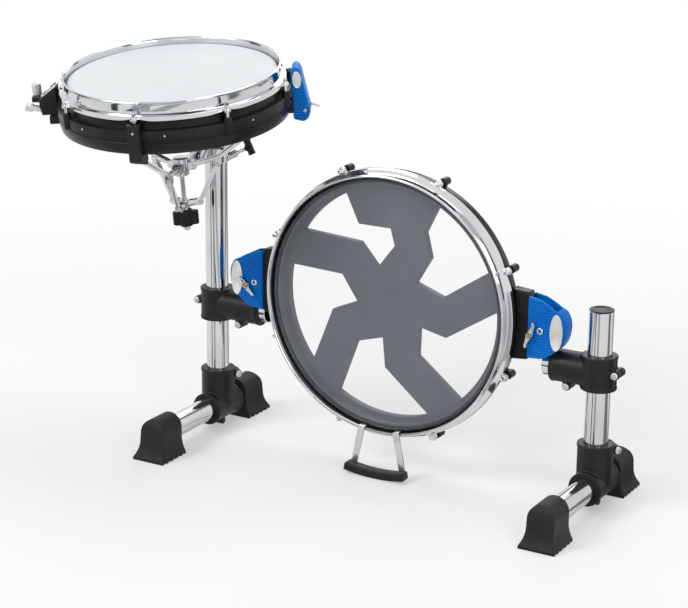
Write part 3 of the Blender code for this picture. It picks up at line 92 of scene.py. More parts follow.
# %% A pattern that can be added and multiplied
class Field:
    """A number that changes over the surface."""

    def __init__(self, nodes, socket):
        self.nodes = nodes
        self.socket = socket

    def sum(self, operation, other, swapped=False):
        """One Math node on this field and another field or number."""
        first, second = (other, self) if swapped else (self, other)
        node = self.nodes.node("ShaderNodeMath", {"operation": operation}, {0: first, 1: second})
        return Field(self.nodes, node.outputs[0])

    def __add__(self, other):
        return self.sum("ADD", other)

    __radd__ = __add__

    def __sub__(self, other):
        return self.sum("SUBTRACT", other)

    def __rsub__(self, other):
        return self.sum("SUBTRACT", other, True)

    def __mul__(self, other):
        return self.sum("MULTIPLY", other)

    __rmul__ = __mul__

    def power(self, other):
        return self.sum("POWER", other)

    def larger(self, other):
        return self.sum("MAXIMUM", other)


# %% [markdown]
# ## A finish
#
# Every part gets one Principled material. Its patterns could read generated coordinates, but
# those stretch with the part. Object coordinates are metres on the real kit, so a scale of 300
# is a grain about three millimetres wide on every piece, large or small.

# %% Nodes, and a material made of them
class Nodes:
    """A node tree that is written from Python."""

    def __init__(self, tree):
        self.tree = tree

    def node(self, kind, settings=None, inputs=None):
        """Any node: its settings first, then the values or links of its sockets."""
        made = self.tree.nodes.new(kind)
        for title, value in (settings or {}).items():
            setattr(made, title, value)
        for title, value in (inputs or {}).items():
            self.feed(made.inputs[title], value)
        return made

    def feed(self, socket, value):
        """Give a socket a link where the value is one, and otherwise a number or colour."""
        if isinstance(value, Field):
            value = value.socket
        if isinstance(value, bpy.types.NodeSocket):
            self.tree.links.new(value, socket)
        else:
            socket.default_value = value

    def between(self, value, low, high, least=0.0, most=1.0):
        """A field remapped to least at low and most at high."""
        node = self.node("ShaderNodeMapRange", None, {0: value, 1: low, 2: high, 3: least, 4: most})
        return Field(self, node.outputs[0])


class Finish(Nodes):
    """A Principled material with patterns in metres."""

    def __init__(self, name, metallic=0.0, **sockets):
        self.material = bpy.data.materials.new(name)
        self.material.use_nodes = True
        super().__init__(self.material.node_tree)
        self.shader = self.tree.nodes["Principled BSDF"]
        self.shader.inputs["Metallic"].default_value = metallic
        for title, value in sockets.items():
            self.shader.inputs[title.replace("_", " ")].default_value = value
        self.place = self.node("ShaderNodeTexCoord").outputs["Object"]

    def stretched(self, scale):
        """Object coordinates with a scale for each axis."""
        node = self.node("ShaderNodeMapping", None, {"Vector": self.place, "Scale": scale})
        return node.outputs[0]

    def noise(self, scale, detail=3.0, place=None):
        inputs = {"Vector": place or self.place, "Scale": scale, "Detail": detail}
        return Field(self, self.node("ShaderNodeTexNoise", None, inputs).outputs[0])

    def blend(self, factor, one, two):
        """A colour between two others."""
        node = self.node("ShaderNodeMix", {"data_type": "RGBA"}, {0: factor})
        self.feed(node.inputs[6], one)
        self.feed(node.inputs[7], two)
        return node.outputs[2]

    def paint(self, colour, roughness, bump, depth, strength):
        """Connect colour, roughness and a bump of a depth in metres."""
        self.feed(self.shader.inputs["Base Color"], colour)
        self.feed(self.shader.inputs["Roughness"], roughness)
        inputs = {"Height": bump, "Distance": depth, "Strength": strength}
        relief = self.node("ShaderNodeBump", None, inputs)
        self.feed(self.shader.inputs["Normal"], relief.outputs[0])
        return self.material

    def show(self, shader):
        """Let another shader take the place of the Principled one."""
        self.feed(self.tree.nodes["Material Output"].inputs["Surface"], shader.outputs[0])


def grey(value, blue=0.0):
    """A grey, with more or less blue where that is asked."""
    return (value, value, value + blue, 1.0)


# %% [markdown]
# ## The metals
#
# The tubes, rims and wing screws are plated steel, which is almost a mirror. What makes plating
# look real is what spoils the mirror: a faint haze of fingerprints and a slow wave left by the
# polishing wheel. On the bright chrome the haze also darkens the colour in broad patches, which is
# partly a painted reflection of grey bands from the room. The cast pieces of the basket are plated
# too, but over a rougher skin. The screw in the middle of each wing lever is brass. Photographs of
# metal could be wrapped round the parts, but noise in the roughness and the bump has no seams and
# fits every size.

# %% Chrome, cast chrome, zinc plate, brass and brushed plate
def chrome():
    """Bright plating with haze, a slow wave and a painted reflection in its colour."""
    finish = Finish("kit_chrome", metallic=1.0)
    haze = finish.between(finish.noise(9.0, 4.0), 0.42, 0.72)
    streaks = finish.noise(60.0, 2.0, finish.stretched((6.0, 6.0, 0.5)))
    # Where the haze is high the colour darkens: partly haze, partly a painted reflection of grey
    # bands from the room.
    colour = finish.blend(haze, (0.67, 0.68, 0.695, 1.0), (0.55, 0.56, 0.575, 1.0))
    roughness = 0.045 + haze * 0.075 + streaks * 0.02
    return finish.paint(colour, roughness, finish.noise(22.0, 1.0), 0.0006, 0.05)


def cast_chrome():
    """Plating over a casting with fine pits."""
    finish = Finish("kit_cast_chrome", metallic=1.0)
    pits = finish.noise(420.0, 3.0)
    haze = finish.between(finish.noise(26.0, 3.0), 0.38, 0.7)
    colour = finish.blend(haze, (0.63, 0.64, 0.655, 1.0), (0.44, 0.45, 0.465, 1.0))
    return finish.paint(colour, 0.10 + haze * 0.12, pits, 0.0003, 0.14)


def zinc():
    """The duller plate on bolts, strips and threads."""
    finish = Finish("kit_zinc_plate", metallic=1.0)
    grain = finish.noise(240.0, 3.0, finish.stretched((3.0, 3.0, 0.12)))
    spots = finish.between(finish.noise(38.0, 4.0), 0.5, 0.78)
    colour = finish.blend(spots, (0.66, 0.65, 0.62, 1.0), (0.50, 0.49, 0.46, 1.0))
    return finish.paint(colour, 0.22 + grain * 0.16, grain, 0.0002, 0.18)


def brass():
    """Bare brass that has dulled in places."""
    finish = Finish("kit_brass", metallic=1.0)
    dull = finish.between(finish.noise(300.0, 3.0), 0.4, 0.7)
    colour = finish.blend(dull, (0.62, 0.42, 0.16, 1.0), (0.40, 0.27, 0.11, 1.0))
    return finish.paint(colour, 0.25 + dull * 0.15, dull, 0.0001, 0.2)


def plate_silver():
    """Pale metal, brushed one way."""
    finish = Finish("kit_plate_silver", metallic=0.75)
    brushed = finish.noise(520.0, 2.0, finish.stretched((0.1, 1.0, 4.0)))
    tarnish = finish.between(finish.noise(70.0, 3.0), 0.45, 0.8)
    colour = finish.blend(tarnish, (0.80, 0.80, 0.78, 1.0), (0.66, 0.66, 0.63, 1.0))
    return finish.paint(colour, 0.24 + brushed * 0.2, brushed, 0.0001, 0.15)


CHROME = chrome()
CAST_CHROME = cast_chrome()
ZINC = zinc()
BRASS = brass()
PLATE_SILVER = plate_silver()
print("metals:", ", ".join(item.name for item in (CHROME, CAST_CHROME, ZINC, BRASS, PLATE_SILVER)))

# %% [markdown]
# ## The plastics, rubber and films
#
# The clamps and drum bodies are moulded black plastic with a spark-eroded grain, and the feet
# and claws are rubber, duller and a little dusty. The brackets are dyed blue. The bass head is a
# clear film that shows the grey spider behind it, and the snare head has a sprayed white coat.
# Each could be a material by itself, but moulded parts differ only in colour, grain and gloss,
# so one function makes them all. The clear film is thin, so it takes alpha instead of glass,
# which would bend the light as a thick block does.

# %% Black, rubber, blue, grey and films
def moulded(name, dark, light, rough, grain_scale=900.0, grain=0.2, scuffs=0.35, sheen=0.22):
    """Plastic or rubber with a moulded grain and paler scuffs."""
    finish = Finish(name, Specular_IOR_Level=sheen)
    grain_field = finish.noise(grain_scale, 2.0)
    flow = finish.noise(14.0, 3.0)
    worn = finish.between(finish.noise(95.0, 5.0), 0.56, 0.80) * scuffs
    colour = finish.blend(finish.between(flow, 0.3, 0.75) * 0.7 + worn, dark, light)
    return finish.paint(colour, rough + flow * 0.08 - worn * 0.10, grain_field, 0.0003, grain)


def clear_film():
    """A film whose pale colour shows most where it is looked at from the side, a painted sheen in
    place of its reflection.
    """
    finish = Finish("kit_clear_film", IOR=1.5)
    facing = finish.node("ShaderNodeLayerWeight", None, {"Blend": 0.35})
    ring = Field(finish, facing.outputs["Facing"])
    haze = finish.noise(7.0, 3.0)
    colour = finish.blend(haze, (0.74, 0.76, 0.78, 1.0), (0.66, 0.69, 0.71, 1.0))
    finish.paint(colour, 0.05 + haze * 0.05, finish.noise(11.0, 1.0), 0.0004, 0.04)
    # Alpha grows towards grazing angles, so the pale colour shows there as a painted sheen that
    # stands in for the film's reflection; the haze adds a little at random.
    finish.feed(finish.shader.inputs["Alpha"], 0.035 + ring.power(3.0) * 0.45 + haze * 0.03)
    return finish.material


def coated_film():
    """A film under a sprayed white coat."""
    finish = Finish("kit_coated_film")
    spray = finish.noise(650.0, 3.0)
    cloud = finish.between(finish.noise(6.0, 3.0), 0.3, 0.75)
    colour = finish.blend(cloud, (0.66, 0.69, 0.70, 1.0), (0.61, 0.64, 0.65, 1.0))
    return finish.paint(colour, 0.42 + spray * 0.2, spray, 0.0003, 0.22)


BLACK = moulded("kit_black_plastic", grey(0.007, 0.001), grey(0.020, 0.002), 0.34)
DRUM_BLACK = moulded("kit_drum_black", grey(0.007, 0.001), grey(0.020, 0.002), 0.28, 1100.0, 0.14)
RUBBER = moulded("kit_black_rubber", grey(0.010), grey(0.027), 0.50, 600.0, 0.3, 0.5)
BLUE = moulded("kit_blue_plastic", (0.0003, 0.140, 0.545, 1.0), (0.0006, 0.198, 0.670, 1.0), 0.34,
               900.0, 0.14, 0.2, 0.12)
GREY = moulded("kit_grey_plastic", (0.096, 0.105, 0.130, 1.0), (0.131, 0.142, 0.172, 1.0), 0.42,
               1000.0, 0.16, 0.15)
CLEAR = clear_film()
COATED = coated_film()
print("materials in all:", len(bpy.data.materials))

# %% [markdown]
# ## Making solids
#
# Flat pieces start as an outline that is extruded. Primitives could be scaled into shape
# instead, but a profile keeps every step and rounded rim of the real part in one list.

# %% Spin and extrude
ON_AXIS = 1e-6


def outline_mesh(points, closed=True):
    """Vertices and edges through (x, y, z) points."""
    mesh = bmesh.new()
    spots = [mesh.verts.new(point) for point in points]
    following = spots[1:] + spots[:1] if closed else spots[1:]
    for one, two in zip(spots, following):
        mesh.edges.new((one, two))
    return mesh


def spun(profile, steps=96):
    """Turn a profile of (radius, height) about Z. A profile that touches the axis is left open."""
    touches = profile[0][0] < ON_AXIS and profile[-1][0] < ON_AXIS
    mesh = outline_mesh([(radius, 0.0, height) for radius, height in profile], not touches)
    bmesh.ops.spin(mesh, geom=mesh.verts[:] + mesh.edges[:], cent=(0, 0, 0), axis=(0, 0, 1),
                   angle=math.tau, steps=steps, use_merge=True)
    bmesh.ops.remove_doubles(mesh, verts=mesh.verts, dist=ON_AXIS)
    bmesh.ops.dissolve_degenerate(mesh, edges=mesh.edges, dist=1e-7)
    bmesh.ops.recalc_face_normals(mesh, faces=mesh.faces)
    return mesh


def rounded(edge, height, radius, low=0.0, steps=3):
    """Profile of a disc or rod of radius edge, whose rims are rounded by radius."""
    inside = edge - radius
    turns = [math.pi / 2 * index / steps for index in range(steps + 1)]
    lower = [(inside + radius * math.sin(turn), low + radius - radius * math.cos(turn))
             for turn in turns]
    upper = [(inside + radius * math.cos(turn), low + height - radius + radius * math.sin(turn))
             for turn in turns]
    return [(0.0, low)] + lower + upper + [(0.0, low + height)]


def drawn(outline, low, high):
    """Extrude an outline of (x, y) from low to high along Z."""
    mesh = outline_mesh([(x, y, low) for x, y in outline])
    face = bmesh.ops.contextual_create(mesh, geom=mesh.edges[:])["faces"]
    grown = bmesh.ops.extrude_face_region(mesh, geom=face)["geom"]
    raised = [item for item in grown if isinstance(item, bmesh.types.BMVert)]
    bmesh.ops.translate(mesh, verts=raised, vec=(0, 0, high - low))
    bmesh.ops.recalc_face_normals(mesh, faces=mesh.faces)
    return mesh


def box(low, high):
    """A plain box between two corners."""
    (x0, y0, z0), (x1, y1, z1) = low, high
    return drawn([(x0, y0), (x1, y0), (x1, y1), (x0, y1)], z0, z1)


def eased(mesh, width, segments=2, sharper_than=35.0):
    """Bevel the edges that turn by more than an angle."""
    limit = math.radians(sharper_than)
    edges = [edge for edge in mesh.edges
             if edge.is_manifold and edge.calc_face_angle(0.0) > limit]
    bmesh.ops.bevel(mesh, geom=edges, offset=width, segments=segments, profile=0.5, affect="EDGES",
                    material=-1, clamp_overlap=True)
    return mesh


# %% [markdown]
# ## Rods and tubes
#
# Each could be made upright and then turned by three angles, but a drawing gives two points.
# So a track quaternion turns the spun shape from the Z axis into the line between them.

# %% Place a shape, rods and tubes
def turn_about(axis, degrees):
    """A turn about a main axis, in degrees."""
    return Matrix.Rotation(math.radians(degrees), 4, axis)


def moved(mesh, matrix):
    """The same mesh, placed by a matrix."""
    bmesh.ops.transform(mesh, matrix=matrix, verts=mesh.verts)
    return mesh


def along(start, end):
    """Frame at start whose Z points to end."""
    start = Vector(start)
    turn = (Vector(end) - start).to_track_quat("Z", "Y")
    return Matrix.Translation(start) @ turn.to_matrix().to_4x4()


def rod(radius, start, end, ease=0.0004, steps=40):
    """A solid bar between two points, with eased ends."""
    length = (Vector(end) - Vector(start)).length
    return moved(spun(rounded(radius, length, ease, steps=2), steps), along(start, end))


def tube(radius, wall, start, end, steps=80):
    """A pipe between two points."""
    length = (Vector(end) - Vector(start)).length
    ease = 0.0005
    profile = [(radius - wall, 0), (radius - ease, 0), (radius, ease), (radius, length - ease),
               (radius - ease, length), (radius - wall, length)]
    return moved(spun(profile, steps), along(start, end))


def arc(centre, radius, start, end, steps):
    """Points on an arc between two angles in degrees."""
    turns = [math.radians(start + (end - start) * index / steps) for index in range(steps + 1)]
    return [(centre[0] + radius * math.cos(turn), centre[1] + radius * math.sin(turn))
            for turn in turns]


def joined(meshes):
    """Several solids in one mesh, each closed by itself."""
    whole = bmesh.new()
    for mesh in meshes:
        data = bpy.data.meshes.new("part")
        mesh.to_mesh(data)
        mesh.free()
        whole.from_mesh(data)
        bpy.data.meshes.remove(data)
    return whole


# %% [markdown]
# ## Cutting, melting and finishing
#
# Holes and saw cuts are booleans. A boolean works on objects, so a helper lends each bmesh an
# object for as long as it lasts. A casting's fillets could be bevelled one by one, but where
# sleeves cross, a thin voxel skin with a little smoothing gives them all at once. The last
# function turns a bmesh into a finished object on the body that carries it.

# %% Booleans, soft skins and finished pieces
def as_object(mesh):
    """A work object for one modifier."""
    data = bpy.data.meshes.new("work")
    mesh.to_mesh(data)
    mesh.free()
    item = bpy.data.objects.new("work", data)
    bpy.context.scene.collection.objects.link(item)
    return item


def applied(item, *helpers):
    """The evaluated mesh of a work object, which is then removed with its helpers."""
    result = bmesh.new()
    result.from_mesh(item.evaluated_get(bpy.context.evaluated_depsgraph_get()).data)
    for used in (item, *helpers):
        data = used.data
        bpy.data.objects.remove(used, do_unlink=True)
        bpy.data.meshes.remove(data)
    return result


def carve(mesh, tool, operation="DIFFERENCE"):
    """An exact boolean of two solids."""
    item = as_object(mesh)
    helper = as_object(tool)
    modifier = item.modifiers.new("carve", "BOOLEAN")
    modifier.operation = operation
    modifier.solver = "EXACT"
    modifier.object = helper
    return applied(item, helper)


def melted(solids, voxel, rounds):
    """Overlapping solids under one skin, smoothed until the inside corners have fillets."""
    item = as_object(joined(solids))
    modifier = item.modifiers.new("skin", "REMESH")
    modifier.mode = "VOXEL"
    modifier.voxel_size = voxel
    result = applied(item)
    for _round in range(rounds):
        bmesh.ops.smooth_vert(result, verts=result.verts, factor=0.5,
                              use_axis_x=True, use_axis_y=True, use_axis_z=True)
    return result


def softened(node, width, segments=2, sharper_than=40.0):
    """A copy of a CAD node with its loose triangles merged and its corners eased."""
    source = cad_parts[node]
    mesh = bmesh.new()
    mesh.from_mesh(source.data)
    moved(mesh, source.matrix_world)
    bmesh.ops.remove_doubles(mesh, verts=mesh.verts, dist=1e-5)
    bmesh.ops.dissolve_limit(mesh, angle_limit=math.radians(0.8), verts=mesh.verts[:],
                             edges=mesh.edges[:])
    return eased(mesh, width, segments, sharper_than)


def piece(name, mesh, body, material, replaces=(), sharp=38.0):
    """Make the finished object, on the body that it moves with."""
    data = bpy.data.meshes.new(name)
    mesh.to_mesh(data)
    mesh.free()
    if "custom_normal" in data.attributes:  # left by a CAD copy, and wrong after its bevels
        data.attributes.remove(data.attributes["custom_normal"])
    data.shade_smooth()
    data.set_sharp_from_angle(angle=math.radians(sharp))
    data.materials.clear()
    data.materials.append(material)
    made = bpy.data.objects.new(name, data)
    bpy.context.scene.collection.objects.link(made)
    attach(made, body)
    if replaces:
        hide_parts(*replaces)
    print("%s: %d faces, moves with %s" % (name, len(data.polygons), body))


def soft_node(node, body, material, width, segments=2):
    """A node whose CAD shape is right, with eased corners."""
    piece(node + "_finished", softened(node, width, segments), body, material, (node,))


# %% [markdown]
# ## The stand
#
# Each side is a base tube on the floor, a post, and black moulded clamps. The posts and base
# tubes are 38.1 mm pipe. The left post carries the snare drum, and the right one is closed by a
# plastic cap whose lip rests on the pipe. A cylinder primitive has no wall and razor edges, so
# the pipes are spun from a profile that has both the wall and the eased ends.

# %% Tubes, posts and the cap
TUBE = 0.01905
WALL = 0.0016
BORE_ROOM = 0.0003
TUBE_BORE = TUBE + BORE_ROOM
POST_X = 0.3464
POST_Y = 0.070
BASE_Z = 0.039
POST_TOPS = {"left": 0.4777, "right": 0.3165}
SIDES = {"left": -1.0, "right": 1.0}

for name, side in SIDES.items():
    low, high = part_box("base_tube_" + name)
    run = tube(TUBE, WALL, (side * POST_X, low[1], BASE_Z), (side * POST_X, high[1], BASE_Z))
    piece("chrome_base_tube_" + name, run, "stand", CHROME, ("base_tube_" + name,))
    low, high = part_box("post_" + name)
    top = (side * POST_X, POST_Y, POST_TOPS[name])
    post = tube(TUBE, WALL, (side * POST_X, POST_Y, low[2]), top)
    piece("chrome_post_" + name, post, "stand", CHROME, ("post_" + name,))

cap = spun([(0, -0.012), (TUBE - WALL - 0.0006, -0.012), (TUBE - WALL - 0.0004, 0),
            (TUBE - 0.0002, 0), (TUBE, 0.0005), (TUBE, 0.0015), (TUBE - 0.0012, 0.0021),
            (TUBE - 0.0040, 0.0019), (TUBE - 0.0050, 0.0012), (0, 0.0012)], 80)
cap = moved(cap, Matrix.Translation((POST_X, POST_Y, POST_TOPS["right"] + BORE_ROOM)))
piece("post_end_cap", cap, "stand", BLACK, ("post_cap_right",))

# %% [markdown]
# ## The feet
#
# A foot is a rubber block moulded over the end of the tube: a dome that follows the tube, sides
# that flare to a wide sole, an outer end that leans in, and five grooves across the sole for
# grip. The solid is cut sharp first, then put under a one millimetre skin and smoothed, because
# every edge of moulded rubber is a little round.

# %% Four rubber feet
FOOT_L = 0.067
FOOT_HALF = 0.030
FOOT_TOP = 0.068
FOOT_STARTS = {"front": -0.1387, "rear": 0.121}
DOME = 0.0226
SOCKET = 0.0495
GROOVES = 5
GROOVE_R = 0.0026
QUARTER_X = turn_about("X", 90.0)
SIDE_VIEW = turn_about("Z", 90.0) @ QUARTER_X


def flare(x, z_low, z_high):
    """Points down one side of the foot, from the dome to the sole."""
    shares = [index / 8 for index in range(9)]
    return [(DOME + (x - DOME) * share ** 2.1, z_high + (z_low - z_high) * share)
            for share in shares]


def rubber_foot(side, start, front):
    """One foot, whose near end is at y = start."""
    x = side * POST_X
    right = flare(FOOT_HALF, 0.0045, 0.029) + [(FOOT_HALF, 0.0)]
    dome = arc((0.0, FOOT_TOP - DOME), DOME, 180.0, 0.0, 28)
    left = [(-out, z) for out, z in reversed(right)]
    outline = [(x + out, z) for out, z in left + dome + right]
    mesh = moved(drawn(outline, -start - FOOT_L, -start), QUARTER_X)
    lean = [(0.0, -0.002), (0.0, 0.004), (0.0036, 0.010), (0.0075, 0.018), (0.0107, 0.030),
            (0.0128, 0.045), (0.0145, 0.058), (0.0205, 0.069), (0.100, 0.069), (0.100, -0.002)]
    edge = [(start + y if front else start + FOOT_L - y, z) for y, z in lean]
    mesh = carve(mesh, moved(drawn(edge, x - 0.05, x + 0.05), SIDE_VIEW), "INTERSECT")
    for index in range(GROOVES):
        y = start + FOOT_L * (index + 0.5) / GROOVES
        mesh = carve(mesh, rod(GROOVE_R, (x - 0.04, y, 0), (x + 0.04, y, 0), steps=16))
    mesh = melted([mesh], 0.0011, 3)
    near, far = (FOOT_L - SOCKET, 0.08) if front else (-0.01, SOCKET)
    socket = rod(TUBE_BORE, (x, start + near, BASE_Z), (x, start + far, BASE_Z), steps=64)
    return carve(mesh, socket)


for name, side in SIDES.items():
    for row, start in FOOT_STARTS.items():
        node = "foot_%s_%s" % (row, name)
        foot = rubber_foot(side, start, row == "front")
        piece("rubber_" + node, foot, "stand", RUBBER, (node,), 50.0)

# %% [markdown]
# ## The clamps
#
# Every clamp is a sleeve with a saw cut, closed by a bolt through a pair of bosses. The moulding
# has generous fillets where two sleeves cross, and a thicker lip at each open end. Separate
# sleeves, lips and bosses are put under one skin, and the bores and saw cuts come afterwards,
# so that they stay crisp. First comes the bolt: a pan head with two crossed slots, cut one after
# the other, because a boolean loses a head that is cut by a cross in one go.

# %% Bolts
BOLT_LENGTH = 0.020
HEAD_R = 0.0056
SLOT = 0.0005


def bolt(seat, direction, length):
    """A pan head bolt with a cross recess, with its head seated at a point."""
    head = spun([(0, 0), (HEAD_R, 0), (HEAD_R, 0.0016), (HEAD_R * 0.90, 0.0024),
                 (HEAD_R * 0.80, 0.0026), (0, 0.0027)], 32)
    reach = HEAD_R * 0.55
    head = carve(head, box((-reach, -SLOT, 0.0016), (reach, SLOT, 0.0040)))
    head = carve(head, box((-SLOT, -reach, 0.0017), (SLOT, reach, 0.0041)))
    shank = spun(rounded(0.0024, length, 0.0003, -length), 20)
    return moved(joined([head, shank]), along(seat, Vector(seat) + Vector(direction)))


# %% [markdown]
# ## The tee clamps
#
# Two short sleeves cross where a post meets its base tube. The upright one is closed by a bolt
# at its side, 50 degrees round from the middle, and the level one has its boss underneath, out
# of sight. Two plain cylinders would meet in a hard line, and the skin rounds that corner.

# %% Tee clamps on the base tubes
LIP = 0.0012
BOSS_R = 0.0070
SAW_HALF = 0.00125
TEE_R = 0.028
TEE_FLAT_R = 0.0262
TEE_TOP = 0.105
TEE_HALF = 0.0375
TEE_BOSS = (TEE_R + 0.0042, 0.092)
TEE_BOSS_HALF = 0.012
LOW_BOSS_Z = BASE_Z - TEE_FLAT_R - 0.0035


def tee_frame(side):
    """Frame on the post's axis, with its X towards the clamp's boss."""
    return Matrix.Translation((side * POST_X, POST_Y, 0)) @ turn_about("Z", 50.0)


def sleeve(radius, start, end):
    """A solid sleeve, before its bore is cut."""
    return rod(radius, start, end, 0.001, 64)


def tee_clamp(side):
    """Two crossed sleeves with their lips, bosses, bores and saw cuts."""
    x = side * POST_X
    reach, boss_z = TEE_BOSS
    boss = rod(BOSS_R, (reach, -TEE_BOSS_HALF, boss_z), (reach, TEE_BOSS_HALF, boss_z), 0.001, 32)
    low_ends = [(x + way * 0.011, POST_Y, LOW_BOSS_Z) for way in (-1.0, 1.0)]
    solids = [sleeve(TEE_R, (x, POST_Y, BASE_Z), (x, POST_Y, TEE_TOP)),
              sleeve(TEE_FLAT_R, (x, POST_Y - TEE_HALF, BASE_Z), (x, POST_Y + TEE_HALF, BASE_Z)),
              sleeve(TEE_R + LIP, (x, POST_Y, TEE_TOP - 0.006), (x, POST_Y, TEE_TOP)),
              moved(boss, tee_frame(side)),
              rod(0.0060, *low_ends, 0.001, 32)]
    for end in (-1.0, 1.0):
        solids.append(sleeve(TEE_FLAT_R + LIP, (x, POST_Y + end * (TEE_HALF - 0.006), BASE_Z),
                             (x, POST_Y + end * TEE_HALF, BASE_Z)))
    mesh = melted(solids, 0.0012, 4)
    low, high = (x, POST_Y, BASE_Z + TUBE + 0.0024), (x, POST_Y, TEE_TOP + 0.01)
    mesh = carve(mesh, rod(TUBE_BORE, low, high, steps=64))
    front, back = (x, POST_Y - 0.06, BASE_Z), (x, POST_Y + 0.06, BASE_Z)
    mesh = carve(mesh, rod(TUBE_BORE, front, back, steps=64))
    side_cut = box((0.012, -SAW_HALF, BASE_Z + TEE_FLAT_R + 0.002),
                   (reach + 0.012, SAW_HALF, TEE_TOP + 0.01))
    mesh = carve(mesh, moved(side_cut, tee_frame(side)))
    return carve(mesh, box((x - SAW_HALF, POST_Y - TEE_HALF - 0.01, -0.01),
                           (x + SAW_HALF, POST_Y + TEE_HALF + 0.01, BASE_Z)))


for name, side in SIDES.items():
    node = "base_clamp_" + name
    piece("black_" + node, tee_clamp(side), "stand", BLACK, (node,), 50.0)
    seat = tee_frame(side) @ Vector((TEE_BOSS[0], -TEE_BOSS_HALF - 0.0002, TEE_BOSS[1]))
    way = tee_frame(side).to_3x3() @ Vector((0, -1, 0))
    piece("tee_bolt_" + name, bolt(seat, way, BOLT_LENGTH), "stand", ZINC)

# %% [markdown]
# ## The cross clamps
#
# The cross clamps join the posts to the drum. The upright sleeve slides on the post, and the
# level one holds a short tube with the blue bracket on it. Their bosses stand to the side and
# underneath, with a bright bolt head in each. The two clamps could be mirrored, but their level
# sleeves differ in length, so one function makes each from its own numbers.

# %% Cross clamps
CROSS_R = 0.0275
SLEEVE_R = 0.0255
SLEEVE_Z = 0.219
CROSS_LOW, CROSS_HIGH = 0.1925, 0.247
SLEEVE_ENDS = {"left": 0.256, "right": 0.272}
CROSS_BOSS = (POST_X + CROSS_R + 0.0035, 0.2215)
SLEEVE_BOSS = (0.298, SLEEVE_Z - SLEEVE_R - 0.0035)
CROSS_BOSSES = ((CROSS_BOSS, 0.015), (SLEEVE_BOSS, 0.013))
CROSS_LIP = 0.001
LIP_DEEP = 0.005


def cross_clamp(name):
    """An upright and a level sleeve with their lips, bosses, bores and saw cuts."""
    side = SIDES[name]
    x = side * POST_X
    end = side * SLEEVE_ENDS[name]
    low, high = (x, POST_Y, CROSS_LOW), (x, POST_Y, CROSS_HIGH)
    near = (end, POST_Y, SLEEVE_Z)
    solids = [sleeve(CROSS_R, low, high),
              sleeve(SLEEVE_R, near, (x, POST_Y, SLEEVE_Z)),
              sleeve(CROSS_R + CROSS_LIP, (x, POST_Y, CROSS_HIGH - LIP_DEEP), high),
              sleeve(CROSS_R + CROSS_LIP, low, (x, POST_Y, CROSS_LOW + LIP_DEEP)),
              sleeve(SLEEVE_R + CROSS_LIP, near, (end + side * LIP_DEEP, POST_Y, SLEEVE_Z))]
    for (bx, bz), half in CROSS_BOSSES:
        ends = [(side * bx, POST_Y + way * half, bz) for way in (-1.0, 1.0)]
        solids.append(rod(BOSS_R, *ends, 0.001, 32))
    mesh = melted(solids, 0.0012, 4)
    below, above = (x, POST_Y, CROSS_LOW - 0.01), (x, POST_Y, CROSS_HIGH + 0.01)
    mesh = carve(mesh, rod(TUBE_BORE, below, above, steps=64))
    start = (end - side * 0.01, POST_Y, SLEEVE_Z)
    bottom = (side * (POST_X - CROSS_R + 0.001), POST_Y, SLEEVE_Z)
    mesh = carve(mesh, rod(TUBE_BORE, start, bottom, steps=64))
    outer = sorted((side * (POST_X + 0.012), side * (CROSS_BOSS[0] + 0.012)))
    mesh = carve(mesh, box((outer[0], POST_Y - SAW_HALF, CROSS_LOW - 0.01),
                           (outer[1], POST_Y + SAW_HALF, CROSS_HIGH + 0.01)))
    inner = sorted((end - side * 0.01, side * (POST_X - CROSS_R - 0.004)))
    return carve(mesh, box((inner[0], POST_Y - SAW_HALF, SLEEVE_BOSS[1] - 0.01),
                           (inner[1], POST_Y + SAW_HALF, SLEEVE_Z - 0.012)))


for name, side in SIDES.items():
    node = "cross_clamp_" + name
    piece("black_" + node, cross_clamp(name), "carriage", BLACK, (node,), 50.0)
    bolts = [bolt((side * bx, POST_Y - half - 0.0002, bz), (0, -1, 0), BOLT_LENGTH + 0.006)
             for (bx, bz), half in CROSS_BOSSES]
    piece("cross_bolts_" + name, joined(bolts), "carriage", ZINC)
    low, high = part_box("bracket_stub_" + name)
    stub = tube(TUBE, WALL, (low[0], POST_Y, SLEEVE_Z), (high[0], POST_Y, SLEEVE_Z))
    piece("chrome_stub_" + name, stub, "bass_drum", CHROME, ("bracket_stub_" + name,))

# %% [markdown]
# ## The blue brackets
#
# Each bracket is a fork: two plates with fine level ribs, closed at the outer end. The drum's
# tongue slides in between them and a wing screw pinches it. The ribs are thin slices of the
# plate's own outline, cut by two planes each, so they stop exactly at its edge.

# %% Ribs and fork
BRACKET_FRONT = 0.040
BRACKET_BACK = 0.068
BRACKET_WALL = 0.004
FORK = [(0.2385, 0.2310), (0.262, 0.2325), (0.270, 0.2362), (0.280, 0.2432), (0.290, 0.252),
        (0.2955, 0.2602), (0.2992, 0.270), (0.301, 0.2826), (0.3002, 0.2920), (0.2978, 0.3000),
        (0.2930, 0.3078), (0.2875, 0.3105), (0.2830, 0.3125), (0.274, 0.3182), (0.258, 0.3260),
        (0.2385, 0.3293)]
FORK_MIDDLE = (0.2697, 0.280)
FORK_OPEN = 0.2285
FORK_CLOSED = 0.286
FORK_PAST = 0.32
WING_SCREWS = {"right": (0.2445, 0.270, 62.0), "left": (0.267, 0.2694, 126.4)}
SIDE_SCREWS = {"right": (0.2598, 0.2774), "left": (0.2533, 0.2755)}
SCREW_BORE = 0.0033
RIB_PITCH = 0.0046
RIB_WIDTH = 0.0025
RIB_RANGE = (0.2355, 0.326)


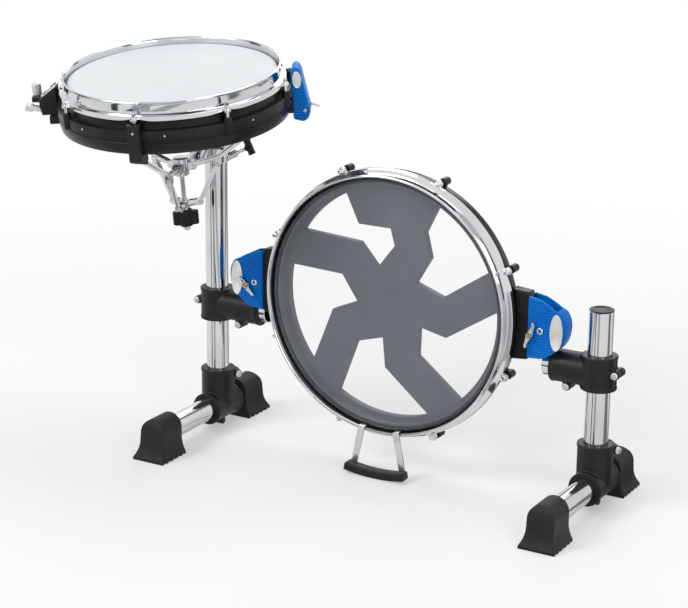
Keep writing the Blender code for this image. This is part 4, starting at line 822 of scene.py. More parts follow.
def rib_slices(outline, low, high, first, last):
    """Thin slices of an outline, one for each rib."""
    slices = []
    level = first
    while level < last:
        mesh = drawn(outline, low, high)
        for height, sign in ((level + RIB_WIDTH / 2, 1.0), (level - RIB_WIDTH / 2, -1.0)):
            everything = mesh.verts[:] + mesh.edges[:] + mesh.faces[:]
            cutting = bmesh.ops.bisect_plane(mesh, geom=everything, dist=1e-7, clear_outer=True,
                                             plane_co=(0, height, 0), plane_no=(0, sign, 0))
            opened = [item for item in cutting["geom_cut"] if isinstance(item, bmesh.types.BMEdge)]
            bmesh.ops.holes_fill(mesh, edges=opened)
        bmesh.ops.recalc_face_normals(mesh, faces=mesh.faces)
        slices.append(eased(mesh, 0.0004, 1, 60.0))
        level += RIB_PITCH
    return slices


def fork_mesh(name):
    """The fork with its slot, its mouth over the sleeve, its tube bore and its screw hole."""
    side = SIDES[name]
    outline = [(side * x, z) for x, z in FORK]
    mesh = eased(moved(drawn(outline, -BRACKET_BACK, -BRACKET_FRONT), QUARTER_X), 0.0012, 2)
    front, back = BRACKET_FRONT + BRACKET_WALL, BRACKET_BACK - BRACKET_WALL
    slot = sorted((side * FORK_OPEN, side * FORK_CLOSED))
    mesh = carve(mesh, box((slot[0], front, 0.2425), (slot[1], back, 0.36)))
    mouth = sorted((side * FORK_OPEN, side * (SLEEVE_ENDS[name] - 0.0135)))
    mesh = carve(mesh, box((mouth[0], front, 0.221), (mouth[1], back, 0.2435)))
    past = (side * FORK_PAST, POST_Y, SLEEVE_Z)
    mesh = carve(mesh, rod(TUBE_BORE, (side * 0.22, POST_Y, SLEEVE_Z), past, steps=64))
    seat = (side * (SLEEVE_ENDS[name] - 0.0015), POST_Y, SLEEVE_Z)
    mesh = carve(mesh, rod(SLEEVE_R + 0.0022, seat, past, steps=64))
    wing_x, wing_z = WING_SCREWS[name][:2]
    ends = [(side * wing_x, y, wing_z) for y in (BRACKET_FRONT - 0.01, BRACKET_BACK + 0.01)]
    return carve(mesh, rod(SCREW_BORE, *ends, steps=24))


for name, side in SIDES.items():
    fork = fork_mesh(name)
    piece("blue_fork_" + name, fork, "bass_drum", BLUE, ("bracket_" + name,))
    mid_x, mid_z = FORK_MIDDLE
    inset = [(side * (mid_x + (x - mid_x) * 0.955), mid_z + (z - mid_z) * 0.965) for x, z in FORK]
    ribs = rib_slices(inset, -BRACKET_FRONT - 0.0002, -BRACKET_FRONT + 0.0013, *RIB_RANGE)
    ribs += rib_slices(inset, -BRACKET_BACK - 0.0013, -BRACKET_BACK + 0.0002, *RIB_RANGE)
    piece("blue_ribs_" + name, moved(joined(ribs), QUARTER_X), "bass_drum", BLUE)

# %% [markdown]
# ## Oval plates and screws
#
# The oval plates are thin pressed metal with a raised edge and a brushed face. Beside each wing
# screw a countersunk ring shows, and a cross pin closes the top of the fork. An oval could be
# drawn as a curve, but a round plate squeezed to an oval keeps its raised edge all the way.

# %% Oval plates, side screws, pins
PLATE_AT = (0.2868, 0.2788)
PLATE_SIZE = (0.0105, 0.0288, 0.0014)
PIN_AT = (0.2840, 0.3030)


def oval_plate(half_w, half_h, thick):
    """An oval plate with a raised edge, facing +Z."""
    mesh = spun([(0, 0), (1.0, 0), (1.0, 0.75), (0.965, 1.0), (0.925, 0.95), (0.885, 0.62),
                 (0, 0.62)], 64)
    return moved(mesh, Matrix.Diagonal((half_w, half_h, thick, 1.0)))


def front_frame(x, y, z, turn=0.0):
    """Frame with its Z towards the player."""
    return Matrix.Translation((x, y, z)) @ QUARTER_X @ turn_about("Z", turn)


for name, side in SIDES.items():
    at = front_frame(side * PLATE_AT[0], BRACKET_FRONT - 0.0010, PLATE_AT[1])
    plate = moved(oval_plate(*PLATE_SIZE), at)
    piece("oval_plate_" + name, plate, "bass_drum", PLATE_SILVER)
    x, z = SIDE_SCREWS[name]
    ring = spun([(0.0024, 0), (0.0052, 0), (0.0052, 0.0010), (0.0044, 0.0016), (0.0030, 0.0014),
                 (0.0024, 0.0004)], 32)
    ring = moved(ring, front_frame(side * x, BRACKET_FRONT - 0.0011, z))
    pin_x, pin_z = side * PIN_AT[0], PIN_AT[1]
    pin = rod(0.0020, (pin_x, BRACKET_FRONT + 0.001, pin_z), (pin_x, BRACKET_BACK - 0.001, pin_z),
              0.0004, 24)
    piece("fork_screw_" + name, joined([ring, pin]), "bass_drum", CHROME)

# %% [markdown]
# ## Wing screws
#
# A wing screw has a round hub and two thin wings that sweep back a little. The wings are one
# flat outline, bent by a shear that grows towards the tips, and eased so that the chrome picks
# up a highlight along each edge.

# %% Wing levers and their nuts
WING = 0.0215
WING_TIP = 0.0026
TAPER = [(0.004, 0.0050), (0.0075, 0.0034), (0.012, 0.0028)]


def wings_mesh():
    """Two thin wings that sweep back towards their tips."""
    tip = WING - 0.0024
    back = TAPER[::-1]
    outline = [(0.0, 0.0052)] + [(-x, y) for x, y in TAPER]
    outline += arc((-tip, 0.0), WING_TIP, 90.0, 270.0, 8) + [(-x, -y) for x, y in back]
    outline += [(0.0, -0.0052)] + [(x, -y) for x, y in TAPER]
    outline += arc((tip, 0.0), WING_TIP, -90.0, 90.0, 8) + back
    wings = drawn(outline, 0.0042, 0.0076)
    long_edges = [edge for edge in wings.edges if edge.calc_length() > 0.003]
    bmesh.ops.subdivide_edges(wings, edges=long_edges, cuts=2, use_grid_fill=True)
    for corner in wings.verts:
        corner.co.y += 0.18 * corner.co.x * abs(corner.co.x) / WING
        corner.co.z += 1.3 * corner.co.x ** 2
    return eased(wings, 0.0008, 2, 50.0)


def wing_screw(length):
    """Screw, hub and wings, with Z along the screw, out of the bracket."""
    hub = spun([(0, -length), (0.0026, -length), (0.0030, -length + 0.0005), (0.0030, 0.0003),
                (0.0056, 0.0003), (0.0060, 0.0012), (0.0058, 0.0084), (0.0050, 0.0094),
                (0.0040, 0.0094), (0.0034, 0.0086), (0.0034, 0.0072), (0, 0.0072)], 40)
    return joined([wings_mesh(), hub])


def brass_end():
    """The screw's end in the hub, with a slot."""
    end = spun(rounded(0.0030, 0.0016, 0.0004, 0.0070), 28)
    return carve(end, box((-0.0040, -0.0004, 0.0079), (0.0040, 0.0004, 0.0100)))


for name, side in SIDES.items():
    x, z, turn = WING_SCREWS[name]
    body = "wing_lever_" + name
    at = front_frame(side * x, BRACKET_FRONT, z, turn)
    piece("chrome_wing_" + name, moved(wing_screw(0.0318), at), body, CHROME, (body,))
    piece("brass_screw_end_" + name, moved(brass_end(), at), body, BRASS)
    nut = spun([(SCREW_BORE, -0.0003), (0.0058, -0.0003), (0.0058, -0.0036), (0.0050, -0.0044),
                (SCREW_BORE, -0.0044)], 6)
    nut = moved(nut, front_frame(side * x, BRACKET_BACK, z))
    piece("chrome_nut_" + name, nut, "bass_drum", CHROME, ("wing_nut_" + name,))

# %% [markdown]
# ## Rims
#
# Both drums have the same kind of rim, so one function makes both. It is rolled from sheet: a
# bead on top, an upright wall, a step outward and a skirt. The skirt's lower edge is scalloped,
# rising to an ear at each lug. The ears are punched flat tabs with a hole for the rod.

# %% Drum frames and rims
BASS_R = 0.2068
SNARE_R = 0.168
DRUM_Z = 0.2798
BASS = Matrix.Translation((0.0, 0.010, DRUM_Z)) @ QUARTER_X
SNARE = Matrix.Translation((-POST_X, -0.0535, 0.6352)) @ turn_about("X", 7.7)
LUG_STEP = 45.0
BASS_FIRST = 22.5
SNARE_FIRST = 15.7
ROD_OFFSET = 0.0155
ROUND_STEPS = 240
SKIRT_EDGE = -0.0262
EAR_RISE = 0.0038
EAR_WIDTH = 5.0


def ring_of(mesh, first):
    """Copies of one solid at every lug round the drum's axis."""
    data = bpy.data.meshes.new("part")
    mesh.to_mesh(data)
    mesh.free()
    whole = bmesh.new()
    data.transform(turn_about("Z", first))
    for _lug in range(round(360.0 / LUG_STEP)):
        whole.from_mesh(data)
        data.transform(turn_about("Z", LUG_STEP))
    bpy.data.meshes.remove(data)
    return whole


def rim_mesh(radius, first):
    """The flanged rim, with its scallops and its ears."""
    sheet = [(0.0, -0.0036), (0.0006, -0.0014), (0.0018, -0.0001), (0.0033, -0.0001),
             (0.0044, -0.0007), (0.0048, -0.0016), (0.0044, -0.0025), (0.0035, -0.0030),
             (0.0029, -0.0042), (0.0027, -0.0062), (0.0023, -0.0165), (0.0029, -0.0187),
             (0.0046, -0.0198), (0.0094, -0.0205), (0.0108, -0.0213), (0.0113, -0.0235),
             (0.0118, -0.0276), (0.0113, -0.0282), (0.0097, -0.0280), (0.0090, -0.0232),
             (0.0078, -0.0224), (0.0020, -0.0221), (0.0, -0.0205)]
    mesh = spun([(radius + out, height) for out, height in sheet], ROUND_STEPS)
    half = LUG_STEP / 2
    for corner in mesh.verts:
        if corner.co.z < SKIRT_EDGE:
            angle = math.degrees(math.atan2(corner.co.y, corner.co.x))
            away = (angle - first + half) % LUG_STEP - half
            corner.co.z += EAR_RISE * math.exp(-(away / EAR_WIDTH) ** 2)
    reach = radius + ROD_OFFSET
    tab = [(radius + 0.0108, 0.0068), (radius + 0.0086, 0.0078)]
    outline = arc((reach, 0.0), 0.0062, -90.0, 90.0, 14) + tab + [(x, -y) for x, y in tab[::-1]]
    ear = eased(drawn(outline, -0.0260, -0.0215), 0.0007, 2)
    ear = carve(ear, rod(0.0034, (reach, 0, -0.04), (reach, 0, -0.01), steps=24))
    return carve(mesh, ring_of(ear, first), "UNION")


def rods_mesh(radius, first, length=0.0495):
    """Tension rods: a shank, a washer with a collar, and a square head."""
    reach = radius + ROD_OFFSET
    shank = spun(rounded(0.0028, length - 0.0205, 0.0003, -length), 24)
    collar = spun([(0, -0.0214), (0.0050, -0.0214), (0.0053, -0.0210), (0.0050, -0.0204),
                   (0.0041, -0.0202), (0.0041, -0.0190), (0.0036, -0.0186), (0, -0.0186)], 32)
    head = spun([(0, -0.0186), (0.0036, -0.0186), (0.0037, -0.0180), (0.0037, -0.0132),
                 (0.0031, -0.0124), (0, -0.0122)], 4)
    rods = joined([shank, collar, moved(head, turn_about("Z", 45.0))])
    return ring_of(moved(rods, Matrix.Translation((reach, 0, 0))), first)


for drum, radius, first, frame_at in (("bass", BASS_R, BASS_FIRST, BASS),
                                      ("snare", SNARE_R, SNARE_FIRST, SNARE)):
    rim = moved(rim_mesh(radius, first), frame_at)
    piece(drum + "_rim_chrome", rim, drum + "_drum", CHROME, (drum + "_rim",))
    rods = moved(rods_mesh(radius, first), frame_at)
    piece(drum + "_tension_rods", rods, drum + "_drum", CHROME)

# %% [markdown]
# ## Heads
#
# A head is a film drawn over a bearing edge. It bends down into a collar, and a hoop grips its
# edge under the rim. The film and the hoop are separate materials, so they are separate pieces.
# A flat disc would do for the middle, but the collar is what shows between rim and film, so
# the whole fold is in the profile.

# %% Films and hoops
def film_mesh(radius):
    """A film 0.8 mm thick, so that it has two sides for light to pass, with its collar."""
    fold = [(0.0075, -0.0100), (0.0046, -0.0102), (0.0028, -0.0113), (0.0019, -0.0135),
            (0.0016, -0.0180), (0.0013, -0.0230), (0.0021, -0.0230), (0.0024, -0.0182),
            (0.0027, -0.0139), (0.0035, -0.0119), (0.0050, -0.0110), (0.0075, -0.0108)]
    folded = [(radius - inset, height) for inset, height in fold]
    return spun([(0, -0.0100)] + folded + [(0, -0.0108)], ROUND_STEPS)


def hoop_mesh(radius):
    """The hoop that grips the film's edge under the rim."""
    band = [(-0.0009, -0.0232), (0.0079, -0.0232), (0.0085, -0.0238), (0.0085, -0.0284),
            (0.0079, -0.0290), (-0.0017, -0.0290), (-0.0022, -0.0284), (-0.0022, -0.0236)]
    return spun([(radius + out, height) for out, height in band], ROUND_STEPS)


for drum, radius, frame_at, slot, film in (("bass", BASS_R, BASS, "clear_film", CLEAR),
                                           ("snare", SNARE_R, SNARE, "coated_film", COATED)):
    body = drum + "_drum"
    head = moved(film_mesh(radius), frame_at)
    piece(drum + "_head_film", head, body, film, (drum + "_head",))
    hoop = moved(hoop_mesh(radius), frame_at)
    piece(drum + "_head_hoop", hoop, body, BLACK)

# %% [markdown]
# ## Drum bodies
#
# The bodies are moulded rings. The rods screw into round barrels that stand out at each lug. On
# the bass drum a web ties each barrel to the waist, and a ribbed tongue each side carries a
# plain tenon into the blue fork. The same rib function serves the tongues and the forks. The
# ring, barrels and tongues could overlap loosely, but they are united, so that no hidden faces
# stay inside the moulding.

# %% Bass body
NECK = 0.0026
BORE = 0.008
LUG_R = 0.0065
SHOULDER = -0.0111
BELOW_BASS = [(0.0050, -0.0300), (0.0060, -0.0308), (0.0060, -0.0395), (0.0054, -0.0400),
              (0.0054, -0.0412), (0.0060, -0.0417), (0.0060, -0.0530), (0.0055, -0.0543),
              (0.0042, -0.0550), (-BORE, -0.0550)]
TONGUE = [(0.0010, -0.056), (0.0302, -0.053), (0.0362, -0.0308), (0.0672, -0.0308),
          (0.0672, 0.0302), (0.0362, 0.0402), (0.0302, 0.054), (0.0010, 0.056)]
TONGUE_FACE = [(0.0075, -0.0540), (0.0296, -0.0512), (0.0305, -0.048), (0.0305, 0.049),
               (0.0296, 0.0522), (0.0075, 0.0540)]
TONGUE_FRONT = -0.0343
TONGUE_BACK = -0.0537


def lug_barrel(radius, low, high, web):
    """A barrel for one tension rod, with a web to the waist or without."""
    reach = radius + ROD_OFFSET
    barrel = rod(LUG_R, (reach, 0, low), (reach, 0, high), 0.0016, 32)
    if not web:
        return barrel
    wall = box((radius - 0.001, -0.0036, low + 0.001), (reach, 0.0036, high - 0.002))
    return melted([barrel, eased(wall, 0.0008)], 0.0008, 2)


def body_mesh(radius, first, below, low, web):
    """The ring with its barrels. below continues the outer profile under the shoulder."""
    neck = radius - NECK
    profile = [(radius - BORE, SHOULDER), (neck - 0.0022, SHOULDER),
               (neck - 0.0007, SHOULDER - 0.0007), (neck, SHOULDER - 0.0022), (neck, -0.030)]
    mesh = spun(profile + [(radius + out, height) for out, height in below], ROUND_STEPS)
    mesh = carve(mesh, ring_of(lug_barrel(radius, low, -0.0345, web), first), "UNION")
    reach = radius + ROD_OFFSET
    hole = rod(SCREW_BORE, (reach, 0, -0.0505), (reach, 0, -0.02), steps=20)
    return carve(mesh, ring_of(hole, first))


bass_body = body_mesh(BASS_R, BASS_FIRST, BELOW_BASS, -0.0535, True)
for name, side in SIDES.items():
    outline = [(side * (BASS_R + x), y) for x, y in TONGUE]
    tongue = eased(drawn(outline, TONGUE_BACK, TONGUE_FRONT), 0.0012, 2)
    x, z = side * WING_SCREWS[name][0], WING_SCREWS[name][1] - DRUM_Z
    tongue = carve(tongue, rod(0.0040, (x, z, -0.08), (x, z, 0.0), steps=24))
    bass_body = carve(bass_body, tongue, "UNION")
    face = [(side * (BASS_R + out), y) for out, y in TONGUE_FACE]
    ribs = rib_slices(face, TONGUE_FRONT - 0.0002, TONGUE_FRONT + 0.0014, -0.0520, 0.0530)
    ribs = moved(joined(ribs), BASS)
    piece("tongue_ribs_" + name, ribs, "bass_drum", DRUM_BLACK)
bass_body = moved(bass_body, BASS)
piece("bass_body", bass_body, "bass_drum", DRUM_BLACK, ("bass_shell",))

# %% [markdown]
# ## The spider
#
# The grey dish stands inside the body and its floor is cut into five bent arms. The arms could
# be drawn one by one, but the windows between them are simpler: one outline, turned five times
# and cut out of the floor. The plate across the top closes the upper ends of two windows.

# %% Dish and five bent arms
DISH_OUT = BASS_R - BORE - BORE_ROOM
FLOOR_TOP = -0.030
FLOOR_LOW = -0.042
WALL_TOP = -0.0140
WINDOW_EDGE = DISH_OUT - 0.0115
ARMS = 5
WINDOW_START, WINDOW_END = 24.1, 76.4
WINDOW_CORNERS = ((0.108, 25.8), (0.060, 17.6), (0.0945, -9.8))
PAD_EDGE = 0.1215
PAD_HALF = 25.9


def polar(radius, degrees):
    """A point at a radius and an angle."""
    return (radius * math.cos(math.radians(degrees)), radius * math.sin(math.radians(degrees)))


def window(degrees):
    """The cutter of one window, turned to its place."""
    outline = arc((0, 0), WINDOW_EDGE, WINDOW_START, WINDOW_END, 20)
    outline += [polar(radius, WINDOW_START + turn) for radius, turn in WINDOW_CORNERS]
    cutter = drawn(outline, FLOOR_LOW - 0.01, FLOOR_TOP + 0.001)
    return moved(cutter, turn_about("Z", degrees))


dish = spun([(0, FLOOR_TOP), (DISH_OUT - 0.0055, FLOOR_TOP),
             (DISH_OUT - 0.0044, FLOOR_TOP + 0.0004),
             (DISH_OUT - 0.0040, FLOOR_TOP + 0.0015), (DISH_OUT - 0.0040, WALL_TOP - 0.0006),
             (DISH_OUT - 0.0034, WALL_TOP), (DISH_OUT - 0.0006, WALL_TOP),
             (DISH_OUT, WALL_TOP - 0.0006), (DISH_OUT, FLOOR_LOW + 0.0006),
             (DISH_OUT - 0.0006, FLOOR_LOW), (0, FLOOR_LOW)],
            ROUND_STEPS)
dish = carve(dish, joined([window(360.0 / ARMS * index) for index in range(ARMS)]))
half = PAD_EDGE * math.tan(math.radians(PAD_HALF))
edge = arc((0, 0), WINDOW_EDGE + 0.003, 90.0 - PAD_HALF, 90.0 + PAD_HALF, 16)
pad = drawn([(-half, PAD_EDGE), (half, PAD_EDGE)] + edge, FLOOR_LOW + 0.0004, FLOOR_TOP - 0.0004)
dish = carve(dish, pad, "UNION")
bmesh.ops.dissolve_limit(dish, angle_limit=math.radians(0.3), verts=dish.verts[:],
                         edges=dish.edges[:])
dish = moved(eased(dish, 0.0007, 2, 50.0), BASS)
piece("grey_spider", dish, "bass_drum", GREY, ("bass_spider",))

# %% [markdown]
# ## The pedal bracket
#
# Two flat steel strips hook over the rim and end in a short curved bar that lies on the floor.
# The bar is a moulded length of hoop with its ends cut square. It could be cut from a whole
# ring, but two arcs make its outline at once. The strips keep their CAD shape with eased edges.

# %% Strips and bar
BAR_DEEP = 0.0125
BAR_HALF = 0.010
BAR_FROM, BAR_TO = -101.3, -78.7

for name in SIDES:
    soft_node("pedal_strut_" + name, "bass_drum", ZINC, 0.0005)
under = arc((0.0, DRUM_Z), DRUM_Z, BAR_FROM, BAR_TO, 28)
over = arc((0.0, DRUM_Z), DRUM_Z - BAR_DEEP, BAR_TO, BAR_FROM, 28)
bar = eased(moved(drawn(under + over, -BAR_HALF, BAR_HALF), QUARTER_X), 0.0018, 3, 40.0)
piece("curved_bar", bar, "bass_drum", BLACK, ("pedal_bar",))

# %% [markdown]
# ## Stem, top clamp and tilter
#
# The chrome stem slides inside the left post. A collar caps the post and a screw with a bar
# handle clamps the stem. The tilter's fork holds the neck of the basket on a pin. The collar
# could be a solid that is drilled, but it is spun hollow, so that the boss for the screw can be
# joined to it without two cuts that meet in one face.

# %% Stem, collar, T screw, tilter
STEM_R = 0.0095
STEM_BORE = STEM_R + BORE_ROOM
STEM_ENDS = (0.300, 0.500)
SCREW_OUT = 0.01935
SCREW_TURN = math.radians(20.0)
SCREW_WAY = Vector((0.8446, 0.3074, 0.4384)).normalized()
SCREW_START = Vector((-POST_X + SCREW_OUT * math.cos(SCREW_TURN),
                      POST_Y + SCREW_OUT * math.sin(SCREW_TURN), 0.4690))
HANDLE_WAY = SCREW_WAY.cross(Vector((0, 1, 0))).normalized()
HANDLE = 0.041


def on_screw(distance, across=0.0):
    """A point on the T screw's axis, or beside it along the handle."""
    return SCREW_START + SCREW_WAY * distance + HANDLE_WAY * across


def threaded(radius, depth, start, end, pitch, steps=24):
    """A rod with a ridge for each turn of its thread."""
    length = (Vector(end) - Vector(start)).length
    profile = [(0, 0)]
    for index in range(int(length / pitch)):
        profile += [(radius - depth, index * pitch), (radius, (index + 0.5) * pitch)]
    profile += [(radius - depth, length), (0, length)]
    return moved(spun(profile, steps), along(start, end))


stem = rod(STEM_R, *((-POST_X, POST_Y, height) for height in STEM_ENDS), 0.0010, 64)
piece("chrome_stem", stem, "stem", CHROME, ("snare_stem",))

collar = spun([(TUBE_BORE, 0.462), (0.0215, 0.462), (0.0225, 0.463), (0.0225, 0.4662),
               (0.0218, 0.4668), (0.0218, 0.4680), (0.0225, 0.4686), (0.0225, 0.4850),
               (0.0210, 0.4865), (STEM_BORE, 0.4865), (STEM_BORE, 0.4780), (TUBE_BORE, 0.4780)], 96)
collar = moved(collar, Matrix.Translation((-POST_X, POST_Y, 0)))
boss = rod(0.0065, on_screw(-0.002), on_screw(0.018), 0.0008, 36)
inside = rod(TUBE + 0.0010, (-POST_X, POST_Y, 0.44), (-POST_X, POST_Y, 0.4775), steps=64)
collar = carve(collar, carve(boss, inside), "UNION")
collar = carve(collar, rod(SCREW_BORE, on_screw(-0.006), on_screw(0.05), steps=24))
piece("chrome_top_clamp", collar, "stand", CHROME, ("top_clamp",))

shank = threaded(0.0030, 0.0004, on_screw(0.0019), on_screw(HANDLE), 0.0012)
piece("t_screw_shank", shank, "stem_screw", CHROME)
grips = [rod(0.0058, on_screw(HANDLE, -0.013), on_screw(HANDLE, 0.013), 0.0014, 36),
         rod(0.0064, on_screw(HANDLE, -0.0125), on_screw(HANDLE, -0.0095), 0.0010, 36),
         rod(0.0064, on_screw(HANDLE, 0.0095), on_screw(HANDLE, 0.0125), 0.0010, 36),
         rod(0.0050, on_screw(HANDLE - 0.0075), on_screw(HANDLE), 0.0010, 36)]
grips = melted(grips, 0.0007, 2)
piece("t_screw_handle", grips, "stem_screw", BLACK, ("stem_screw",), 50.0)
soft_node("tilter_base", "tilter", CAST_CHROME, 0.0008)

# %% [markdown]
# ## The basket
#
# Hub, arms, links and collar are small castings with parallel sides, so the CAD shapes are kept
# and given eased corners. The rod down the middle is threaded, and turning the knob pulls the
# collar up, which swings the arms in.

# %% Basket castings and rod
ROD_ENDS = (-0.2735, -0.160)
BAND = 0.0165
CLAW = 0.010
CLAW_Z = -0.0425
ARM_ANGLES = (-74.3, 45.7, 165.7)

soft_node("basket_hub", "basket", CAST_CHROME, 0.0007)
soft_node("basket_collar", "collar", CAST_CHROME, 0.0005)
for number in (1, 2, 3):
    soft_node("basket_arm_%d" % number, "arm_%d" % number, CAST_CHROME, 0.0009, 3)
    soft_node("basket_link_%d" % number, "link_%d" % number, CAST_CHROME, 0.0006)
    soft_node("arm_grip_%d" % number, "arm_%d" % number, RUBBER, 0.0022, 4)
basket_rod = threaded(0.0040, 0.0005, *((0, 0, height) for height in ROD_ENDS), 0.0016)
basket_rod = moved(basket_rod, SNARE)
piece("basket_threaded_rod", basket_rod, "basket", ZINC, ("threaded_rod",))

for number, angle in enumerate(ARM_ANGLES, 1):
    outer = SNARE_R + BAND + BORE_ROOM + CLAW
    rivet = spun([(0, 0), (0.0021, 0), (0.0019, 0.0006), (0.0011, 0.0010), (0, 0.0011)], 24)
    rivet = moved(rivet, along((outer - 0.0001, 0, CLAW_Z), (outer + 1, 0, CLAW_Z)))
    rivet = moved(rivet, SNARE @ turn_about("Z", angle))
    piece("claw_rivet_%d" % number, rivet, "arm_%d" % number, CHROME)

# %% [markdown]
# ## The adjuster knob
#
# The knob under the basket is moulded plastic: a round middle with two blunt wings for finger
# and thumb, on a metal nut. Spinning it alone would give a plain cylinder, so a flat outline of
# the wings is melted into the round middle, and the rod's hole is cut last.

# %% Adjuster knob
KNOB_TOP = -0.2378
KNOB_LOW = KNOB_TOP - 0.028
KNOB_WING = 0.0145

wings = arc((KNOB_WING, 0), 0.0065, -90, 90, 12) + arc((-KNOB_WING, 0), 0.0065, 90, 270, 12)
wings = eased(drawn(wings, KNOB_LOW + 0.002, KNOB_TOP - 0.003), 0.0012, 2)
middle = rod(0.011, (0, 0, KNOB_LOW), (0, 0, KNOB_TOP), 0.0012, 48)
knob = melted([middle, moved(wings, turn_about("Z", 35.0))], 0.0008, 3)
knob = carve(knob, rod(0.0043, (0, 0, KNOB_LOW - 0.01), (0, 0, KNOB_TOP + 0.01), steps=32))
knob = moved(knob, SNARE)
piece("winged_knob", knob, "knob", BLACK, ("adjuster_knob",), 50.0)
soft_node("adjuster_nut", "knob", CHROME, 0.0004)

# %% [markdown]
# ## The snare drum's body
#
# Below the shoulder the snare body steps out to a deep band, which the claws grip. The lower
# ring clamps the bottom film. Small screws hold the ring on, with their heads in the band and
# their ends showing underneath. The body could be modelled anew, but it shares the bass body's
# function, because only the profile below the shoulder differs.

# %% Snare body, lower ring, bottom film
BELOW_SNARE = [(0.0050, -0.0300), (0.0060, -0.0308), (0.0060, -0.0400), (0.0064, -0.0415),
               (0.0078, -0.0420), (BAND - 0.0012, -0.0420), (BAND - 0.0003, -0.0423),
               (BAND, -0.0432), (BAND, -0.0560), (BAND - 0.0006, -0.0564),
               (BAND - 0.0006, -0.0572), (BAND, -0.0576), (BAND, -0.0596),
               (BAND - 0.0004, -0.0600), (-BORE, -0.0600)]
LOWER_RING = [(-0.0045, -0.0603), (BAND - 0.0026, -0.0603), (BAND - 0.0020, -0.0608),
              (BAND - 0.0020, -0.0615), (BAND - 0.0012, -0.0617), (BAND - 0.0008, -0.0623),
              (BAND - 0.0014, -0.0700), (BAND - 0.0034, -0.0790), (BAND - 0.0046, -0.0800),
              (-0.0092, -0.0800), (-0.0100, -0.0792), (-0.0100, -0.0757), (-0.0045, -0.0757)]
TONGUE_PLAN = [(0.008, -0.0665), (0.0303, -0.0665), (0.0315, -0.0677), (0.0315, -0.0800),
               (0.0045, -0.0800)]
TONGUE_HALF = 0.013
BRACKET_TURN = 28.0
STRAINER_TURN = -152.0

snare_body = moved(body_mesh(SNARE_R, SNARE_FIRST, BELOW_SNARE, -0.0600, False), SNARE)
piece("snare_body", snare_body, "snare_drum", DRUM_BLACK, ("snare_shell",))

lower = spun([(SNARE_R + out, height) for out, height in LOWER_RING], ROUND_STEPS)
for angle in (BRACKET_TURN, STRAINER_TURN):
    plan = [(SNARE_R + out, depth) for out, depth in TONGUE_PLAN]
    tongue = eased(moved(drawn(plan, -TONGUE_HALF, TONGUE_HALF), QUARTER_X), 0.0008, 2)
    lower = carve(lower, moved(tongue, turn_about("Z", angle)), "UNION")
lower = moved(lower, SNARE)
piece("snare_lower_hoop", lower, "snare_drum", DRUM_BLACK, ("snare_lower_ring",))

bottom = SNARE_R - 0.0048
film = spun([(0, -0.0746), (bottom - 0.0034, -0.0746), (bottom - 0.0027, -0.0739),
             (bottom - 0.0027, -0.0609), (bottom - 0.0021, -0.0603), (bottom - 0.0005, -0.0603),
             (bottom, -0.0608), (bottom, -0.0750), (bottom - 0.0005, -0.0754), (0, -0.0754)],
            ROUND_STEPS)
film = moved(film, SNARE)
piece("snare_bottom_film", film, "snare_drum", CLEAR, ("snare_bottom_head",))

screw_head = spun([(0, 0), (0.0017, 0), (0.0015, 0.0006), (0.0008, 0.0009), (0, 0.0009)], 20)
screw_head = moved(screw_head, along((SNARE_R + BAND - 0.0002, 0, -0.0500), (1.0, 0, -0.0500)))
screw_end = rod(0.0018, (SNARE_R + 0.0060, 0, -0.0835), (SNARE_R + 0.0060, 0, -0.0795),
                0.0005, 20)
screws = joined([ring_of(screw_head, SNARE_FIRST + 14.0), ring_of(screw_end, SNARE_FIRST)])
piece("lower_ring_screws", moved(screws, SNARE), "snare_drum", CHROME)

# %% [markdown]
# ## Snare wires
#
# The wires are coiled strands soldered to a plate at each end, and the whole band drops with
# the strainer. A true helix for each strand costs many thousands of faces that nobody sees. So
# a strand is a thin rod whose profile swells at every turn of the coil.

# %% Coiled strands and end plates
WIRES = 0.147
WIRE_Z = -0.0764
STRANDS = 14
SPREAD = 0.0352
COIL_TURNS = 92
COIL_PITCH = 0.003
COIL_LENGTH = 0.2762

strands = []
for index in range(STRANDS):
    y = -SPREAD / 2 + SPREAD * index / (STRANDS - 1)
    coil = [(0, 0)]
    for turn in range(COIL_TURNS):
        start = turn * COIL_PITCH
        coil += [(0.00048, start + 0.0002), (0.00068, start + 0.0015)]
    coil = spun(coil + [(0.00048, COIL_LENGTH), (0, COIL_LENGTH)], 8)
    strands.append(moved(coil, along((-COIL_LENGTH / 2, y, WIRE_Z), (COIL_LENGTH / 2, y, WIRE_Z))))
for side in (-1.0, 1.0):
    ends = sorted((side * 0.139, side * WIRES))
    strands.append(eased(box((ends[0], -0.020, -0.0775), (ends[1], 0.020, -0.0758)), 0.0004, 1))
wires = moved(joined(strands), SNARE @ turn_about("Z", STRAINER_TURN))
piece("snare_wire_band", wires, "snare_wires", ZINC, ("snare_wires",))

# %% [markdown]
# ## Snare bracket
#
# The blue bracket hangs from the lower ring's tongue and rises to a rounded top beside the rim.
# It has a smaller oval plate on its side, and a wing screw that pinches its saw cut. Its corners
# could be bevelled after the extrusion, but sharp ones would then overlap, so the outline is
# rounded first and the bevel only eases its rims.

# %% Bracket, plate and wing screw
def radial(outline, half):
    """An outline of (reach, depth) made thick across the bracket's plane."""
    mesh = drawn([(reach, -depth) for reach, depth in outline], -half, half)
    return moved(mesh, turn_about("Z", BRACKET_TURN) @ QUARTER_X)


